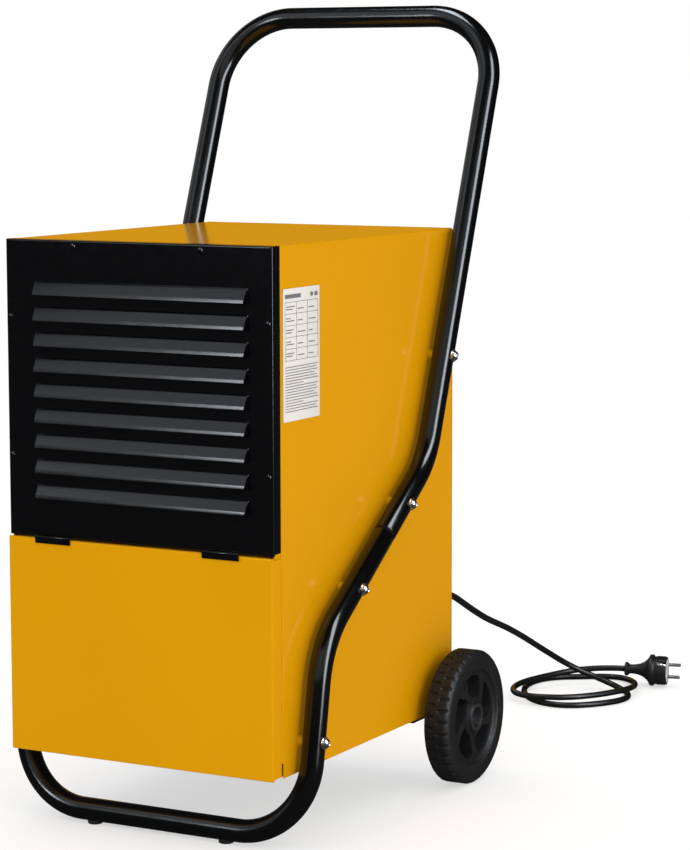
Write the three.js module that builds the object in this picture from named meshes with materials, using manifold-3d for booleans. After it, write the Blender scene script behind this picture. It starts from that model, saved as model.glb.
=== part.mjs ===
// Portable building-site dehumidifier: a sheet-metal cabinet carried in a bent
// tube frame with a handle loop, a front skid and two rear wheels.
// Millimetres, +Z up, +X to the right of the front, +Y towards the rear.
// Inside this file y = 0 is the front face of the louvred panel and z = 0 is
// the floor; the whole model is shifted along y at the end, so that the origin
// is the centre of the footprint.
import * as THREE from 'three';
import { mergeVertices } from 'three/addons/utils/BufferGeometryUtils.js';
import { ConvexGeometry } from 'three/addons/geometries/ConvexGeometry.js';
import Module from 'manifold-3d';

const wasm = await Module();
wasm.setup();

// ---------------------------------------------------------------- dimensions
const CAB_W = 355;            // cabinet width
const CAB_D = 447;            // cabinet depth
const CAB_Z0 = 90;            // underside of the cabinet
const CAB_Z1 = 690;           // top of the cabinet
const SKIN = 1.5;             // shell sheet
const PAN = 1.2;              // sheet of the two front covers
const FLANGE = 16.2;          // depth of the covers' side flanges
const GAP = 0.4;              // clearance between neighbouring pieces

const PANEL_Z0 = 345.3;       // lower edge of the louvred panel
const LOUVRES = 9;
const LOUVRE_Z = 626.5;       // lip height of the top louvre
const LOUVRE_PITCH = 29.5;
const LOUVRE_HALF = 142;    // half length at the root
const LOUVRE_CX = 4;           // the louvres sit a little right of the panel's middle
const LOUVRE_OUT = 9;         // how far a lip stands out
const LOUVRE_TALL = 15.5;

const DOOR_PROUD = 3.5;       // the door's face stands in front of the panel
const DOOR_Z1 = 343.8;
const HINGE_Y = -4.4;
const HINGE_Z = 345.6;
const TAB_X = [-115, 111];    // centres of the two hinge tabs
const TAB_W = 48;

const TUBE_D = 27;            // frame tube
const TUBE_X = 195;           // side plane of the frame
const SKID = [39.4, 16.3];    // y, z of the skid corner
const KNEE = [79.0, 236.4];   // lower bend
const HIP = [338.1, 413.1];   // upper bend
const JOINT = [230, 339.4];   // where the handle loop meets the lower frame
const TOP = [541.0, 951.2];   // top bar
const R_SKID = 88, R_KNEE = 110, R_HIP = 105, R_TOP = 92;
const BOLTS = [[386, 538], [275.6, 370.5], [153.6, 287.3], [59.2, 126.1]];
const BOLT_HEAD_D = 13, BOLT_HEAD_H = 5, BOLT_SHANK_D = 8;

const WHEEL_R = 83.5;
const WHEEL_Y = 422.3;
const WHEEL_X0 = 190, WHEEL_X1 = 225.5;
const AXLE_D = 12;

const TANK = { x: 150, y0: 20, y1: 215, z0: 113.5, z1: 272, wall: 3 };

const FAN_Z = 520;
const CORD_D = 8.4;
const CORD_EXIT = [150, 224];  // x, z of the cord's outlet in the rear panel

// ------------------------------------------------------------------- colours
const paint = (color, roughness, metalness = 0) => new THREE.MeshStandardMaterial({ color, roughness, metalness });
const YELLOW = paint(0xdf9c08, 0.38);
const BLACK_PAINT = paint(0x15171a, 0.42);
const BLACK_TUBE = paint(0x0d0e10, 0.2);
const RUBBER = paint(0x2a2b2d, 0.75);
const WHEEL_PLASTIC = paint(0x3a3b3d, 0.6);
const GALV = paint(0xa9adb0, 0.45, 0.9);
const ALU = paint(0xc3c6c8, 0.35, 0.95);
const STEEL = paint(0xd6d8da, 0.22, 1);
const COPPER = paint(0xb8693d, 0.3, 1);
const BLACK_PLASTIC = paint(0x1b1c1e, 0.5);
const TANK_PLASTIC = paint(0xe6e8e6, 0.4);
const FOAM = paint(0x3c3f42, 0.95);
const LABEL = paint(0xf2f3f2, 0.5);
const LAMP = paint(0xc8240f, 0.2);

// ------------------------------------------------------------------- helpers
const model = new THREE.Group();
const CORD_NAMES = new Set(['power_cord', 'cord_coil', 'cord_tail', 'power_plug', 'cord_strain_relief']);

function solid(geometry) {
  const g = geometry.clone();
  for (const name of Object.keys(g.attributes)) if (name !== 'position') g.deleteAttribute(name);
  const m = mergeVertices(g, 1e-4);
  const mesh = new wasm.Mesh({
    numProp: 3,
    vertProperties: new Float32Array(m.attributes.position.array),
    triVerts: new Uint32Array(m.index.array),
  });
  return new wasm.Manifold(mesh);
}
function geometryOf(manifold) {
  const m = manifold.getMesh();
  const g = new THREE.BufferGeometry();
  g.setAttribute('position', new THREE.BufferAttribute(new Float32Array(m.vertProperties), 3));
  g.setIndex(new THREE.BufferAttribute(new Uint32Array(m.triVerts), 1));
  g.computeVertexNormals();
  return g;
}
const join = (...list) => geometryOf(list.map(solid).reduce((a, b) => a.add(b)));
const cut = (base, ...list) => geometryOf(list.map(solid).reduce((a, b) => a.subtract(b), solid(base)));

function box(x0, x1, y0, y1, z0, z1) {
  return new THREE.BoxGeometry(x1 - x0, y1 - y0, z1 - z0).translate((x0 + x1) / 2, (y0 + y1) / 2, (z0 + z1) / 2);
}
// A cylinder between two coordinates along one axis.
function rod(axis, r, a, b, u, v, sides = 20, r2 = r) {
  const g = new THREE.CylinderGeometry(r2, r, b - a, sides);
  const mid = (a + b) / 2;
  if (axis === 'x') return g.rotateZ(-Math.PI / 2).translate(mid, u, v);
  if (axis === 'y') return g.translate(u, mid, v);
  return g.rotateX(Math.PI / 2).translate(u, v, mid);
}
// A lathe whose profile is [radius, distance along the axis].
function turned(axis, profile, u, v, sides = 24) {
  const pts = profile.map(([r, h]) => new THREE.Vector2(r, h));
  const g = new THREE.LatheGeometry(pts, sides);
  if (axis === 'x') return g.rotateZ(-Math.PI / 2).translate(0, u, v);
  if (axis === 'y') return g.translate(u, 0, v);
  return g.rotateX(Math.PI / 2).translate(u, v, 0);
}
// An inverted U of sheet, seen from the front, extruded from y0 to y1.
function uSheet(half, top, bottom, t, r, y0, y1) {
  const s = new THREE.Shape();
  s.moveTo(-half, bottom);
  s.lineTo(-half + t, bottom);
  s.lineTo(-half + t, top - r);
  s.absarc(-half + r, top - r, r - t, Math.PI, Math.PI / 2, true);
  s.lineTo(half - r, top - t);
  s.absarc(half - r, top - r, r - t, Math.PI / 2, 0, true);
  s.lineTo(half - t, bottom);
  s.lineTo(half, bottom);
  s.lineTo(half, top - r);
  s.absarc(half - r, top - r, r, 0, Math.PI / 2, false);
  s.lineTo(-half + r, top);
  s.absarc(-half + r, top - r, r, Math.PI / 2, Math.PI, false);
  s.lineTo(-half, bottom);
  const g = new THREE.ExtrudeGeometry(s, { depth: y1 - y0, bevelEnabled: false, curveSegments: 4 });
  return g.rotateX(Math.PI / 2).translate(0, y1, 0);
}
// A flat shape in the XZ plane, extruded from y0 to y1.
function plateXZ(shape, y0, y1, seg = 12) {
  return new THREE.ExtrudeGeometry(shape, { depth: y1 - y0, bevelEnabled: false, curveSegments: seg })
    .rotateX(Math.PI / 2).translate(0, y1, 0);
}
// A flat shape in the XY plane, extruded from z0 to z1.
function plateXY(shape, z0, z1, seg = 12) {
  return new THREE.ExtrudeGeometry(shape, { depth: z1 - z0, bevelEnabled: false, curveSegments: seg }).translate(0, 0, z0);
}
function roundRect(x0, x1, y0, y1, r) {
  const s = new THREE.Shape();
  s.moveTo(x0 + r, y0);
  s.lineTo(x1 - r, y0);
  s.absarc(x1 - r, y0 + r, r, -Math.PI / 2, 0, false);
  s.lineTo(x1, y1 - r);
  s.absarc(x1 - r, y1 - r, r, 0, Math.PI / 2, false);
  s.lineTo(x0 + r, y1);
  s.absarc(x0 + r, y1 - r, r, Math.PI / 2, Math.PI, false);
  s.lineTo(x0, y0 + r);
  s.absarc(x0 + r, y0 + r, r, Math.PI, Math.PI * 1.5, false);
  return s;
}

// A path of straight runs joined by circular bends. Its samples sit on the ends
// of the straight runs and at equal angles round each bend.
class BentPath extends THREE.Curve {
  constructor(corners, radii, degrees = 10) {
    super();
    this.samples = [];
    this.tangents = [];
    const P = corners.map((c) => new THREE.Vector3(...c));
    const push = (p, t) => { this.samples.push(p); this.tangents.push(t); };
    push(P[0].clone(), P[1].clone().sub(P[0]).normalize());
    for (let i = 1; i < P.length - 1; i++) {
      const a = P[i].clone().sub(P[i - 1]).normalize();
      const b = P[i + 1].clone().sub(P[i]).normalize();
      const turn = Math.acos(THREE.MathUtils.clamp(a.dot(b), -1, 1));
      const r = radii[i - 1];
      const back = r * Math.tan(turn / 2);
      const start = P[i].clone().addScaledVector(a, -back);
      const inward = b.clone().addScaledVector(a, -a.dot(b)).normalize();
      const centre = start.clone().addScaledVector(inward, r);
      const n = Math.max(2, Math.round(THREE.MathUtils.radToDeg(turn) / degrees));
      for (let k = 0; k <= n; k++) {
        const w = (turn * k) / n;
        const p = centre.clone().addScaledVector(inward, -r * Math.cos(w)).addScaledVector(a, r * Math.sin(w));
        const t = a.clone().multiplyScalar(Math.cos(w)).addScaledVector(inward, Math.sin(w));
        push(p, t);
      }
    }
    const last = P.length - 1;
    push(P[last].clone(), P[last].clone().sub(P[last - 1]).normalize());
  }
  at(list, t) {
    const u = THREE.MathUtils.clamp(t, 0, 1) * (list.length - 1);
    const i = Math.min(Math.floor(u + 1e-9), list.length - 2);
    return list[i].clone().lerp(list[i + 1], Math.max(0, u - i));
  }
  getPoint(t) { return this.at(this.samples, t); }
  getTangent(t) { return this.at(this.tangents, t).normalize(); }
  getPointAt(u) { return this.getPoint(u); }
  getTangentAt(u) { return this.getTangent(u); }
}
function bentTube(corners, radii, d, sides = 12, degrees = 10) {
  const path = new BentPath(corners, radii, degrees);
  const s = new THREE.Shape();
  for (let i = 0; i < sides; i++) {
    const a = (i / sides) * Math.PI * 2;
    const p = [(d / 2) * Math.cos(a), (d / 2) * Math.sin(a)];
    if (i === 0) s.moveTo(...p); else s.lineTo(...p);
  }
  s.closePath();
  return new THREE.ExtrudeGeometry(s, { steps: path.samples.length - 1, extrudePath: path, bevelEnabled: false });
}

function add(name, geometry, material, parent = model) {
  const mesh = new THREE.Mesh(geometry, material);
  mesh.name = name;
  parent.add(mesh);
  return mesh;
}

// --------------------------------------------------------------- the cabinet
const H = CAB_W / 2;
const JOG = H - PAN - GAP;      // outer face of the step that carries the covers
{
  // The shell is one sheet folded over both sides and the top. Its front edge
  // steps inwards so that the covers lie flush with it.
  const skin = uSheet(H, CAB_Z1, CAB_Z0, SKIN, 5, FLANGE + GAP, CAB_D - SKIN - 2 * GAP);
  const step = uSheet(JOG, CAB_Z1 - PAN - GAP, CAB_Z0 + 3, SKIN, 4.5, 4, FLANGE + 4);
  const fold = uSheet(H - 0.7, CAB_Z1 - 0.7, CAB_Z0 + 3, H - 0.7 - (JOG - SKIN), 5, FLANGE + 1.4, FLANGE + 3.4);
  let shell = join(skin, step, fold);
  const cuts = [];
  for (const side of [-1, 1]) {
    for (const [y, z] of BOLTS) cuts.push(rod('x', 4.6, side > 0 ? 160 : -190, side > 0 ? 190 : -160, y, z, 12));
    cuts.push(box(side > 0 ? H - 4 : -H - 4, side > 0 ? H + 4 : -H + 4, FLANGE - 2, FLANGE + 8, CAB_Z0 - 2, CAB_Z0 + 18));
  }
  add('shell_wrap', cut(shell, ...cuts), YELLOW);
}
{
  // Base pan with upturned edges, and two rails that the water tank runs on.
  const x = 173.8, y0 = 21, y1 = CAB_D - 4;
  const parts = [
    box(-x, x, y0, y1, CAB_Z0 + 1, CAB_Z0 + 2.5),
    box(-x, -x + SKIN, y0, y1, CAB_Z0 + 1, CAB_Z0 + 26),
    box(x - SKIN, x, y0, y1, CAB_Z0 + 1, CAB_Z0 + 26),
    box(-x, x, y0, y0 + SKIN, CAB_Z0 + 1, CAB_Z0 + 18),
    box(-x, x, y1 - SKIN, y1, CAB_Z0 + 1, CAB_Z0 + 30),
    box(-145, -120, y0 + 1, 218, CAB_Z0 + 2, TANK.z0 - GAP),
    box(120, 145, y0 + 1, 218, CAB_Z0 + 2, TANK.z0 - GAP),
  ];
  add('base_pan', join(...parts), GALV);
}
{
  // Rear panel with the air outlet, punched as rows of slots over the fan.
  const sheet = plateXZ(roundRect(-H, H, CAB_Z0, CAB_Z1, 3), CAB_D - SKIN, CAB_D, 3);
  const cuts = [];
  for (let i = -6; i <= 6; i++) {
    const z = FAN_Z + i * 17;
    const half = Math.sqrt(Math.max(0, 118 * 118 - (i * 17) ** 2)) - 6;
    if (half > 20) {
      cuts.push(box(-half, -5, CAB_D - 5, CAB_D + 5, z - 4.5, z + 4.5));
      cuts.push(box(5, half, CAB_D - 5, CAB_D + 5, z - 4.5, z + 4.5));
    }
  }
  cuts.push(rod('y', 8.5, CAB_D - 6, CAB_D + 6, CORD_EXIT[0], CORD_EXIT[1], 20));
  add('rear_panel', cut(sheet, ...cuts), YELLOW);
}
{
  // Louvred front panel: a shallow pan with nine pressed hoods, open below.
  const pan = cut(box(-H, H, 0, FLANGE, PANEL_Z0, CAB_Z1),
    box(-H + PAN, H - PAN, PAN, FLANGE + 5, PANEL_Z0 + PAN, CAB_Z1 - PAN),
    box(170, H + 3, 2.4, FLANGE + 3, PANEL_Z0 - 3, PANEL_Z0 + 2.6),
    box(-H - 3, -170, 2.4, FLANGE + 3, PANEL_Z0 - 3, PANEL_Z0 + 2.6));
  const parts = [pan];
  const hollows = [];
  const wedge = (xa, ya, za, xb, yb, zb, xc, yc, zc) => new ConvexGeometry([
    new THREE.Vector3(LOUVRE_CX - xa, ya, za), new THREE.Vector3(LOUVRE_CX + xa, ya, za),
    new THREE.Vector3(LOUVRE_CX - xb, yb, zb), new THREE.Vector3(LOUVRE_CX + xb, yb, zb),
    new THREE.Vector3(LOUVRE_CX - xc, yc, zc), new THREE.Vector3(LOUVRE_CX + xc, yc, zc),
  ]);
  for (let k = 0; k < LOUVRES; k++) {
    const z = LOUVRE_Z - k * LOUVRE_PITCH;
    parts.push(wedge(LOUVRE_HALF - 1.2, 0.8, z + LOUVRE_TALL, LOUVRE_HALF - 1.6, -LOUVRE_OUT, z, LOUVRE_HALF, 0.8, z));
    hollows.push(wedge(LOUVRE_HALF - 3.6, 3, z + LOUVRE_TALL - 1.4, LOUVRE_HALF - 3.8, -LOUVRE_OUT + 1.6, z - 2.5, LOUVRE_HALF - 2.4, 3, z - 2.5));
  }
  add('louvre_panel', cut(join(...parts), ...hollows), BLACK_PAINT);
}
{
  // Lower door: a pan whose face stands a little in front of the panel above.
  const f = -DOOR_PROUD;
  add('front_door', cut(box(-H, H, f, FLANGE - 0.4, CAB_Z0, DOOR_Z1),
    box(-H + PAN, H - PAN, f + PAN, FLANGE + 5, CAB_Z0 + PAN, DOOR_Z1 - PAN),
    box(168, H + 3, f + 3, FLANGE + 3, DOOR_Z1 - 2.6, DOOR_Z1 + 3),
    box(-H - 3, -168, f + 3, FLANGE + 3, DOOR_Z1 - 2.6, DOOR_Z1 + 3),
    box(-169, 169, 9, FLANGE + 4, DOOR_Z1 - 2.4, DOOR_Z1 + 3),
    box(172, H + 3, f + 3, FLANGE + 3, CAB_Z0 - 3, CAB_Z0 + 2.6),
    box(-H - 3, -172, f + 3, FLANGE + 3, CAB_Z0 - 3, CAB_Z0 + 2.6)), YELLOW);
  // Hinge tabs: a leaf on the door's face rolled round the hinge line.
  ['left', 'right'].forEach((side, i) => {
    const c = TAB_X[i];
    add(`door_tab_${side}`, join(
      box(c - TAB_W / 2, c + TAB_W / 2, f - 0.3 - 1.2, f - 0.3, 338.2, HINGE_Z),
      rod('x', 1.5, c - TAB_W / 2, c + TAB_W / 2, HINGE_Y, HINGE_Z, 12),
    ), BLACK_PAINT);
  });
}
{
  // Deck between the air path above and the tank and compressor bays below.
  const deck = box(-172, 172, 22, 440, 348.5, 350);
  add('mid_deck', cut(deck,
    rod('z', 9.5, 340, 360, 0, 100, 16),
    rod('z', 5.5, 340, 360, 163, 335, 12),
    rod('z', 6.5, 340, 360, -158, 380, 12),
    rod('z', 3.5, 340, 360, -166, 330, 12)), GALV);
  add('tank_bay_bulkhead', box(-172, 172, 224, 225.5, 93, 348), GALV);
}

// -------------------------------------------------- water tank and its float
{
  const t = TANK;
  const outer = plateXY(roundRect(-t.x, t.x, t.y0, t.y1, 14), t.z0, t.z1, 4);
  const inner = plateXY(roundRect(-t.x + t.wall, t.x - t.wall, t.y0 + t.wall, t.y1 - t.wall, 11), t.z0 + t.wall, t.z1 + 5, 4);
  const lip = box(-70, 70, t.y0 - 11, t.y0 + 1, t.z1 - 6, t.z1 - 2);
  const lugs = [box(88, 92, t.y1 - 16, t.y1 - 2, 238, 254), box(108, 112, t.y1 - 16, t.y1 - 2, 238, 254)];
  add('water_tank', join(cut(join(outer, lip), inner), ...lugs), TANK_PLASTIC);
  // Float: a puck on an arm that pivots between two lugs on the rear wall.
  add('tank_float', join(
    rod('z', 19, 222, 238, 100, 160, 20),
    box(96, 104, 158, 204, 234, 240),
    rod('x', 4.5, 93, 107, 205, 240, 12),
  ), BLACK_PLASTIC);
  add('level_switch', box(88, 112, 217.4, 223.6, 284, 306), BLACK_PLASTIC);
}

// ------------------------------------------------------------------ air path
{
  // Pleated filter slab in its frame.
  const f = [box(-160, 160, 24, 32, 356, 676)];
  add('air_filter', join(...f), FOAM);
}
// A finned coil: thin fins on a spine, with its return bends at the right end.
function coil(x, y0, y1, z0, z1, fins) {
  const s = new THREE.Shape();
  const pitch = (2 * x) / fins, t = pitch * 0.42, mid = (y0 + y1) / 2;
  s.moveTo(-x, y0);
  for (let i = 0; i < fins; i++) {
    const a = -x + i * pitch;
    s.lineTo(a + t, y0);
    if (i < fins - 1) {
      s.lineTo(a + t, mid - 2);
      s.lineTo(a + pitch, mid - 2);
      s.lineTo(a + pitch, y0);
    }
  }
  const xr = -x + (fins - 1) * pitch + t;
  s.lineTo(xr, y1);
  for (let i = fins - 1; i >= 0; i--) {
    const a = -x + i * pitch;
    if (i < fins - 1) s.lineTo(a + t, y1);
    if (i > 0) {
      s.lineTo(a, y1);
      s.lineTo(a, mid + 2);
      s.lineTo(a - pitch + t, mid + 2);
    }
  }
  s.lineTo(-x, y1);
  s.closePath();
  const parts = [plateXY(s, z0, z1), box(xr - 1, xr + 2, y0, y1, z0, z1)];
  for (let k = 0; k < 4; k++) {
    const z = z0 + 40 + k * 62;
    parts.push(bentTube([[xr, mid, z], [xr + 13, mid, z], [xr + 13, mid, z + 30], [xr, mid, z + 30]], [9, 9], 8, 8, 30));
  }
  return join(...parts);
}
add('evaporator', coil(150, 60, 94, 376, 660, 20), ALU);
add('condenser', coil(150, 106, 144, 376, 660, 20), ALU);
{
  // Condensate tray under the coils; its spout drops through the deck.
  const tray = join(box(-165, 165, 52, 152, 350.4, 372), rod('z', 8, 300, 352, 0, 100, 16));
  add('drip_tray', cut(tray, box(-163, 163, 54, 150, 352.4, 380), rod('z', 5.5, 290, 360, 0, 100, 16)), BLACK_PLASTIC);
}
{
  // Fan shroud: plate with a collar round the rotor.
  const plate = cut(box(-166, 166, 402, 403.5, 354, 684), rod('y', 118, 395, 410, 0, FAN_Z, 40));
  const ring = turned('y', [[117.4, 396], [119.6, 396], [119.6, 432], [117.4, 432], [117.4, 396]], 0, FAN_Z, 40);
  add('fan_shroud', join(plate, ring), GALV);
  add('fan_motor', turned('y', [[0, 322], [34, 322], [43, 328], [43, 378], [36, 384], [8, 384], [4, 386], [4, 424], [0, 424]], 0, FAN_Z, 24), BLACK_PLASTIC);
  add('fan_motor_bracket', cut(join(
    box(-158, 158, 386.5, 388.5, FAN_Z - 15, FAN_Z + 15),
    box(-158, -150, 386.5, 401.6, FAN_Z - 15, FAN_Z + 15),
    box(150, 158, 386.5, 401.6, FAN_Z - 15, FAN_Z + 15),
  ), rod('y', 9, 380, 395, 0, FAN_Z, 16)), GALV);
  // Rotor: hub with five pitched blades.
  const blades = [];
  for (let k = 0; k < 5; k++) {
    const g = new THREE.BoxGeometry(88, 2.4, 58).translate(66, 0, 0).rotateX(0.42);
    blades.push(g.rotateY((k / 5) * Math.PI * 2).translate(0, 414, FAN_Z));
  }
  const hub = turned('y', [[4.5, 402], [30, 402], [30, 426], [4.5, 426], [4.5, 402]], 0, FAN_Z, 20);
  add('fan_rotor', cut(join(hub, ...blades), rod('y', 4.5, 390, 440, 0, FAN_Z, 20)), BLACK_PLASTIC);
}

// ------------------------------------------------------ refrigerating circuit
{
  const shell = turned('z', [[0, 112], [52, 112], [60, 118], [60, 262], [54, 282], [36, 296], [0, 300]], 70, 335, 24);
  const base = join(box(0, 140, 268, 402, 106, 113));
  const feet = [[10, 278], [130, 278], [10, 392], [130, 392]].map(([x, y]) => rod('z', 8, CAB_Z0 + 2.9, 108, x, y, 10));
  add('compressor', join(shell, base, ...feet), BLACK_PAINT);
  const can = turned('z', [[0, 150], [16, 150], [22, 160], [22, 258], [14, 270], [0, 272]], -40, 385, 16);
  add('suction_accumulator', join(can, bentTube([[-40, 385, 152], [-40, 385, 132], [9.5, 361.5, 132]], [12], 10, 8, 22)), BLACK_PAINT);
  add('suction_pipe', bentTube([[-158, 102, 640], [-158, 380, 640], [-158, 380, 320], [-40, 385, 320], [-40, 385, 272.6]], [25, 25, 22, 22], 10, 8, 22), COPPER);
  add('discharge_pipe', bentTube([[70, 335, 300.6], [70, 335, 325], [163, 335, 325], [163, 335, 640], [163, 152, 640]], [14, 14, 25, 25], 8, 8, 22), COPPER);
  const drier = turned('z', [[0, 150], [5, 152], [11, 162], [11, 228], [5, 238], [0, 240]], -90, 290, 12);
  add('filter_drier', join(drier, bentTube([[-90, 290, 236], [-90, 290, 305], [-166, 330, 305], [-166, 330, 600], [-166, 92, 600]], [14, 14, 20], 4, 6, 30)), COPPER);
  add('electrical_box', join(box(-168, -108, 340, 436, 150, 285)), BLACK_PLASTIC);
}

// ------------------------------------------------------------- rear controls
{
  add('control_panel', plateXZ(roundRect(-125, 60, 236, 336, 5), CAB_D + 0.3, CAB_D + 2.8, 4), BLACK_PLASTIC);
  const y = CAB_D + 3.2;
  const knob = turned('y', [[0, y], [17, y], [17, y + 3], [14, y + 5], [13, y + 15], [0, y + 15]], -85, 286, 24);
  add('humidistat_knob', join(knob, box(-86.5, -83.5, y + 10, y + 16.5, 275, 299)), BLACK_PLASTIC);
  const bezel = join(box(-40, -10, CAB_D + 3.1, CAB_D + 7.1, 275, 297));
  add('switch_bezel', cut(bezel, box(-37, -13, CAB_D + 2, CAB_D + 9, 278, 294)), BLACK_PLASTIC);
  const rocker = new THREE.Shape();
  rocker.moveTo(-11.4, 0); rocker.lineTo(11.4, 0); rocker.lineTo(11.4, 5.6); rocker.lineTo(0, 3.6); rocker.lineTo(-11.4, 4.2); rocker.closePath();
  const rg = new THREE.ExtrudeGeometry(rocker, { depth: 15, bevelEnabled: false });
  add('power_rocker', rg.translate(-25, CAB_D + 4.2, 278.5), LAMP);
  add('tank_full_lamp', turned('y', [[0, CAB_D + 3.2], [5.5, CAB_D + 3.2], [5.5, CAB_D + 6], [3.5, CAB_D + 8.4], [0, CAB_D + 9]], 20, 306, 16), LAMP);
  add('hour_meter', box(2, 38, CAB_D + 3.2, CAB_D + 6.2, 262, 282), BLACK_PLASTIC);
}

// ------------------------------------------------------------ the tube frame
const R = TUBE_D / 2;
{
  const diag = new THREE.Vector2(HIP[0] - KNEE[0], HIP[1] - KNEE[1]).normalize();
  const half = 3.6;
  const lo = [JOINT[0] - diag.x * half, JOINT[1] - diag.y * half];
  const hi = [JOINT[0] + diag.x * half, JOINT[1] + diag.y * half];
  const side = (s, p) => [s * TUBE_X, p[0], p[1]];
  const lower = bentTube([side(-1, lo), side(-1, KNEE), side(-1, SKID), side(1, SKID), side(1, KNEE), side(1, lo)],
    [R_KNEE, R_SKID, R_SKID, R_KNEE], TUBE_D, 12, 11.3);
  const upper = bentTube([side(-1, hi), side(-1, HIP), side(-1, TOP), side(1, TOP), side(1, HIP), side(1, hi)],
    [R_HIP, R_TOP, R_TOP, R_HIP], TUBE_D, 12, 11.3);
  const hole = (s, [y, z]) => rod('x', BOLT_SHANK_D / 2 + 0.4, s * TUBE_X - 30, s * TUBE_X + 30, y, z, 10);
  add('lower_frame', cut(lower, ...[-1, 1].flatMap((s) => BOLTS.slice(2).map((b) => hole(s, b)))), BLACK_TUBE);
  add('handle_frame', cut(upper, ...[-1, 1].flatMap((s) => BOLTS.slice(0, 2).map((b) => hole(s, b)))), BLACK_TUBE);
  for (const [name, s] of [['left', -1], ['right', 1]]) {
    const sleeve = new THREE.CylinderGeometry(R - 1.2, R - 1.2, 2 * half - 0.8, 16);
    sleeve.rotateX(Math.atan2(diag.y, diag.x)).translate(s * TUBE_X, JOINT[0], JOINT[1]);
    add(`joint_sleeve_${name}`, sleeve, BLACK_TUBE);
    BOLTS.forEach(([y, z], i) => {
      const x0 = TUBE_X + R + 0.1, r = BOLT_SHANK_D / 2, hr = BOLT_HEAD_D / 2;
      const g = turned('x', [[0, 166], [r, 166], [r, x0], [hr, x0], [hr, x0 + 1.4], [hr * 0.7, x0 + 4], [0, x0 + BOLT_HEAD_H]], 0, 0, 10);
      if (s < 0) g.rotateZ(Math.PI);
      add(`frame_bolt_${name}_${i + 1}`, g.translate(0, y, z), STEEL);
    });
    add(`skid_foot_${name}`, rod('z', 9, 0, SKID[1] - R - 0.3, s * 90, SKID[0], 16), RUBBER);
  }
}

// ------------------------------------------------------------ axle and wheels
{
  add('axle', rod('x', AXLE_D / 2, -217, 217, WHEEL_Y, WHEEL_R, 20), STEEL);
  for (const [name, s] of [['left', -1], ['right', 1]]) {
    const bx = s > 0 ? [120, 145] : [-145, -120];
    add(`axle_bracket_${name}`, cut(box(bx[0], bx[1], WHEEL_Y - 20, WHEEL_Y + 18, 70, CAB_Z0 + 0.6),
      rod('x', AXLE_D / 2 + 0.4, bx[0] - 2, bx[1] + 2, WHEEL_Y, WHEEL_R, 20)), BLACK_PAINT);
    // Tyre, web and hub are one moulding with five pockets, closed at the back by a 3 mm web.
    const b = AXLE_D / 2 + 0.4, x0 = WHEEL_X0, x1 = WHEEL_X1, r = WHEEL_R;
    let w = turned('x', [[b, x0 + 3], [18, x0 + 3], [18, x0 + 9], [56, x0 + 9], [62, x0 + 1], [79, x0], [r, x0 + 4.5],
      [r, x1 - 5.5], [79.5, x1 - 0.5], [66, x1], [58, x1 - 5], [18, x1 - 3], [16, x1], [12.5, x1], [12.5, x1 - 14], [b, x1 - 14], [b, x0 + 3]], 0, 0, 32);
    const windows = [];
    for (let k = 0; k < 5; k++) {
      const shape = new THREE.Shape();
      const a0 = (k / 5) * Math.PI * 2 + 0.218, a1 = a0 + 0.82;
      shape.absarc(0, 0, 54, a0, a1, false);
      shape.absarc(0, 0, 25, a1 - 0.1, a0 + 0.18, true);
      shape.closePath();
      const g = new THREE.ExtrudeGeometry(shape, { depth: 60, bevelEnabled: false, curveSegments: 3 });
      windows.push(g.rotateY(Math.PI / 2).translate(x0 + 12, 0, 0));
    }
    w = cut(w, ...windows);
    if (s < 0) w.rotateZ(Math.PI);
    add(`wheel_${name}`, w.translate(0, WHEEL_Y, WHEEL_R), WHEEL_PLASTIC);
    const ring = turned('x', [[b, x1 - 13.5], [10.8, x1 - 13.5], [10.8, x1 - 12], [b, x1 - 11], [b, x1 - 13.5]], 0, 0, 20);
    if (s < 0) ring.rotateZ(Math.PI);
    add(`axle_retainer_${name}`, ring.translate(0, WHEEL_Y, WHEEL_R), STEEL);
  }
}
add('rating_label', box(H + 0.3, H + 0.7, 22.4, 105.2, 493, 641.5), LABEL);

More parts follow.
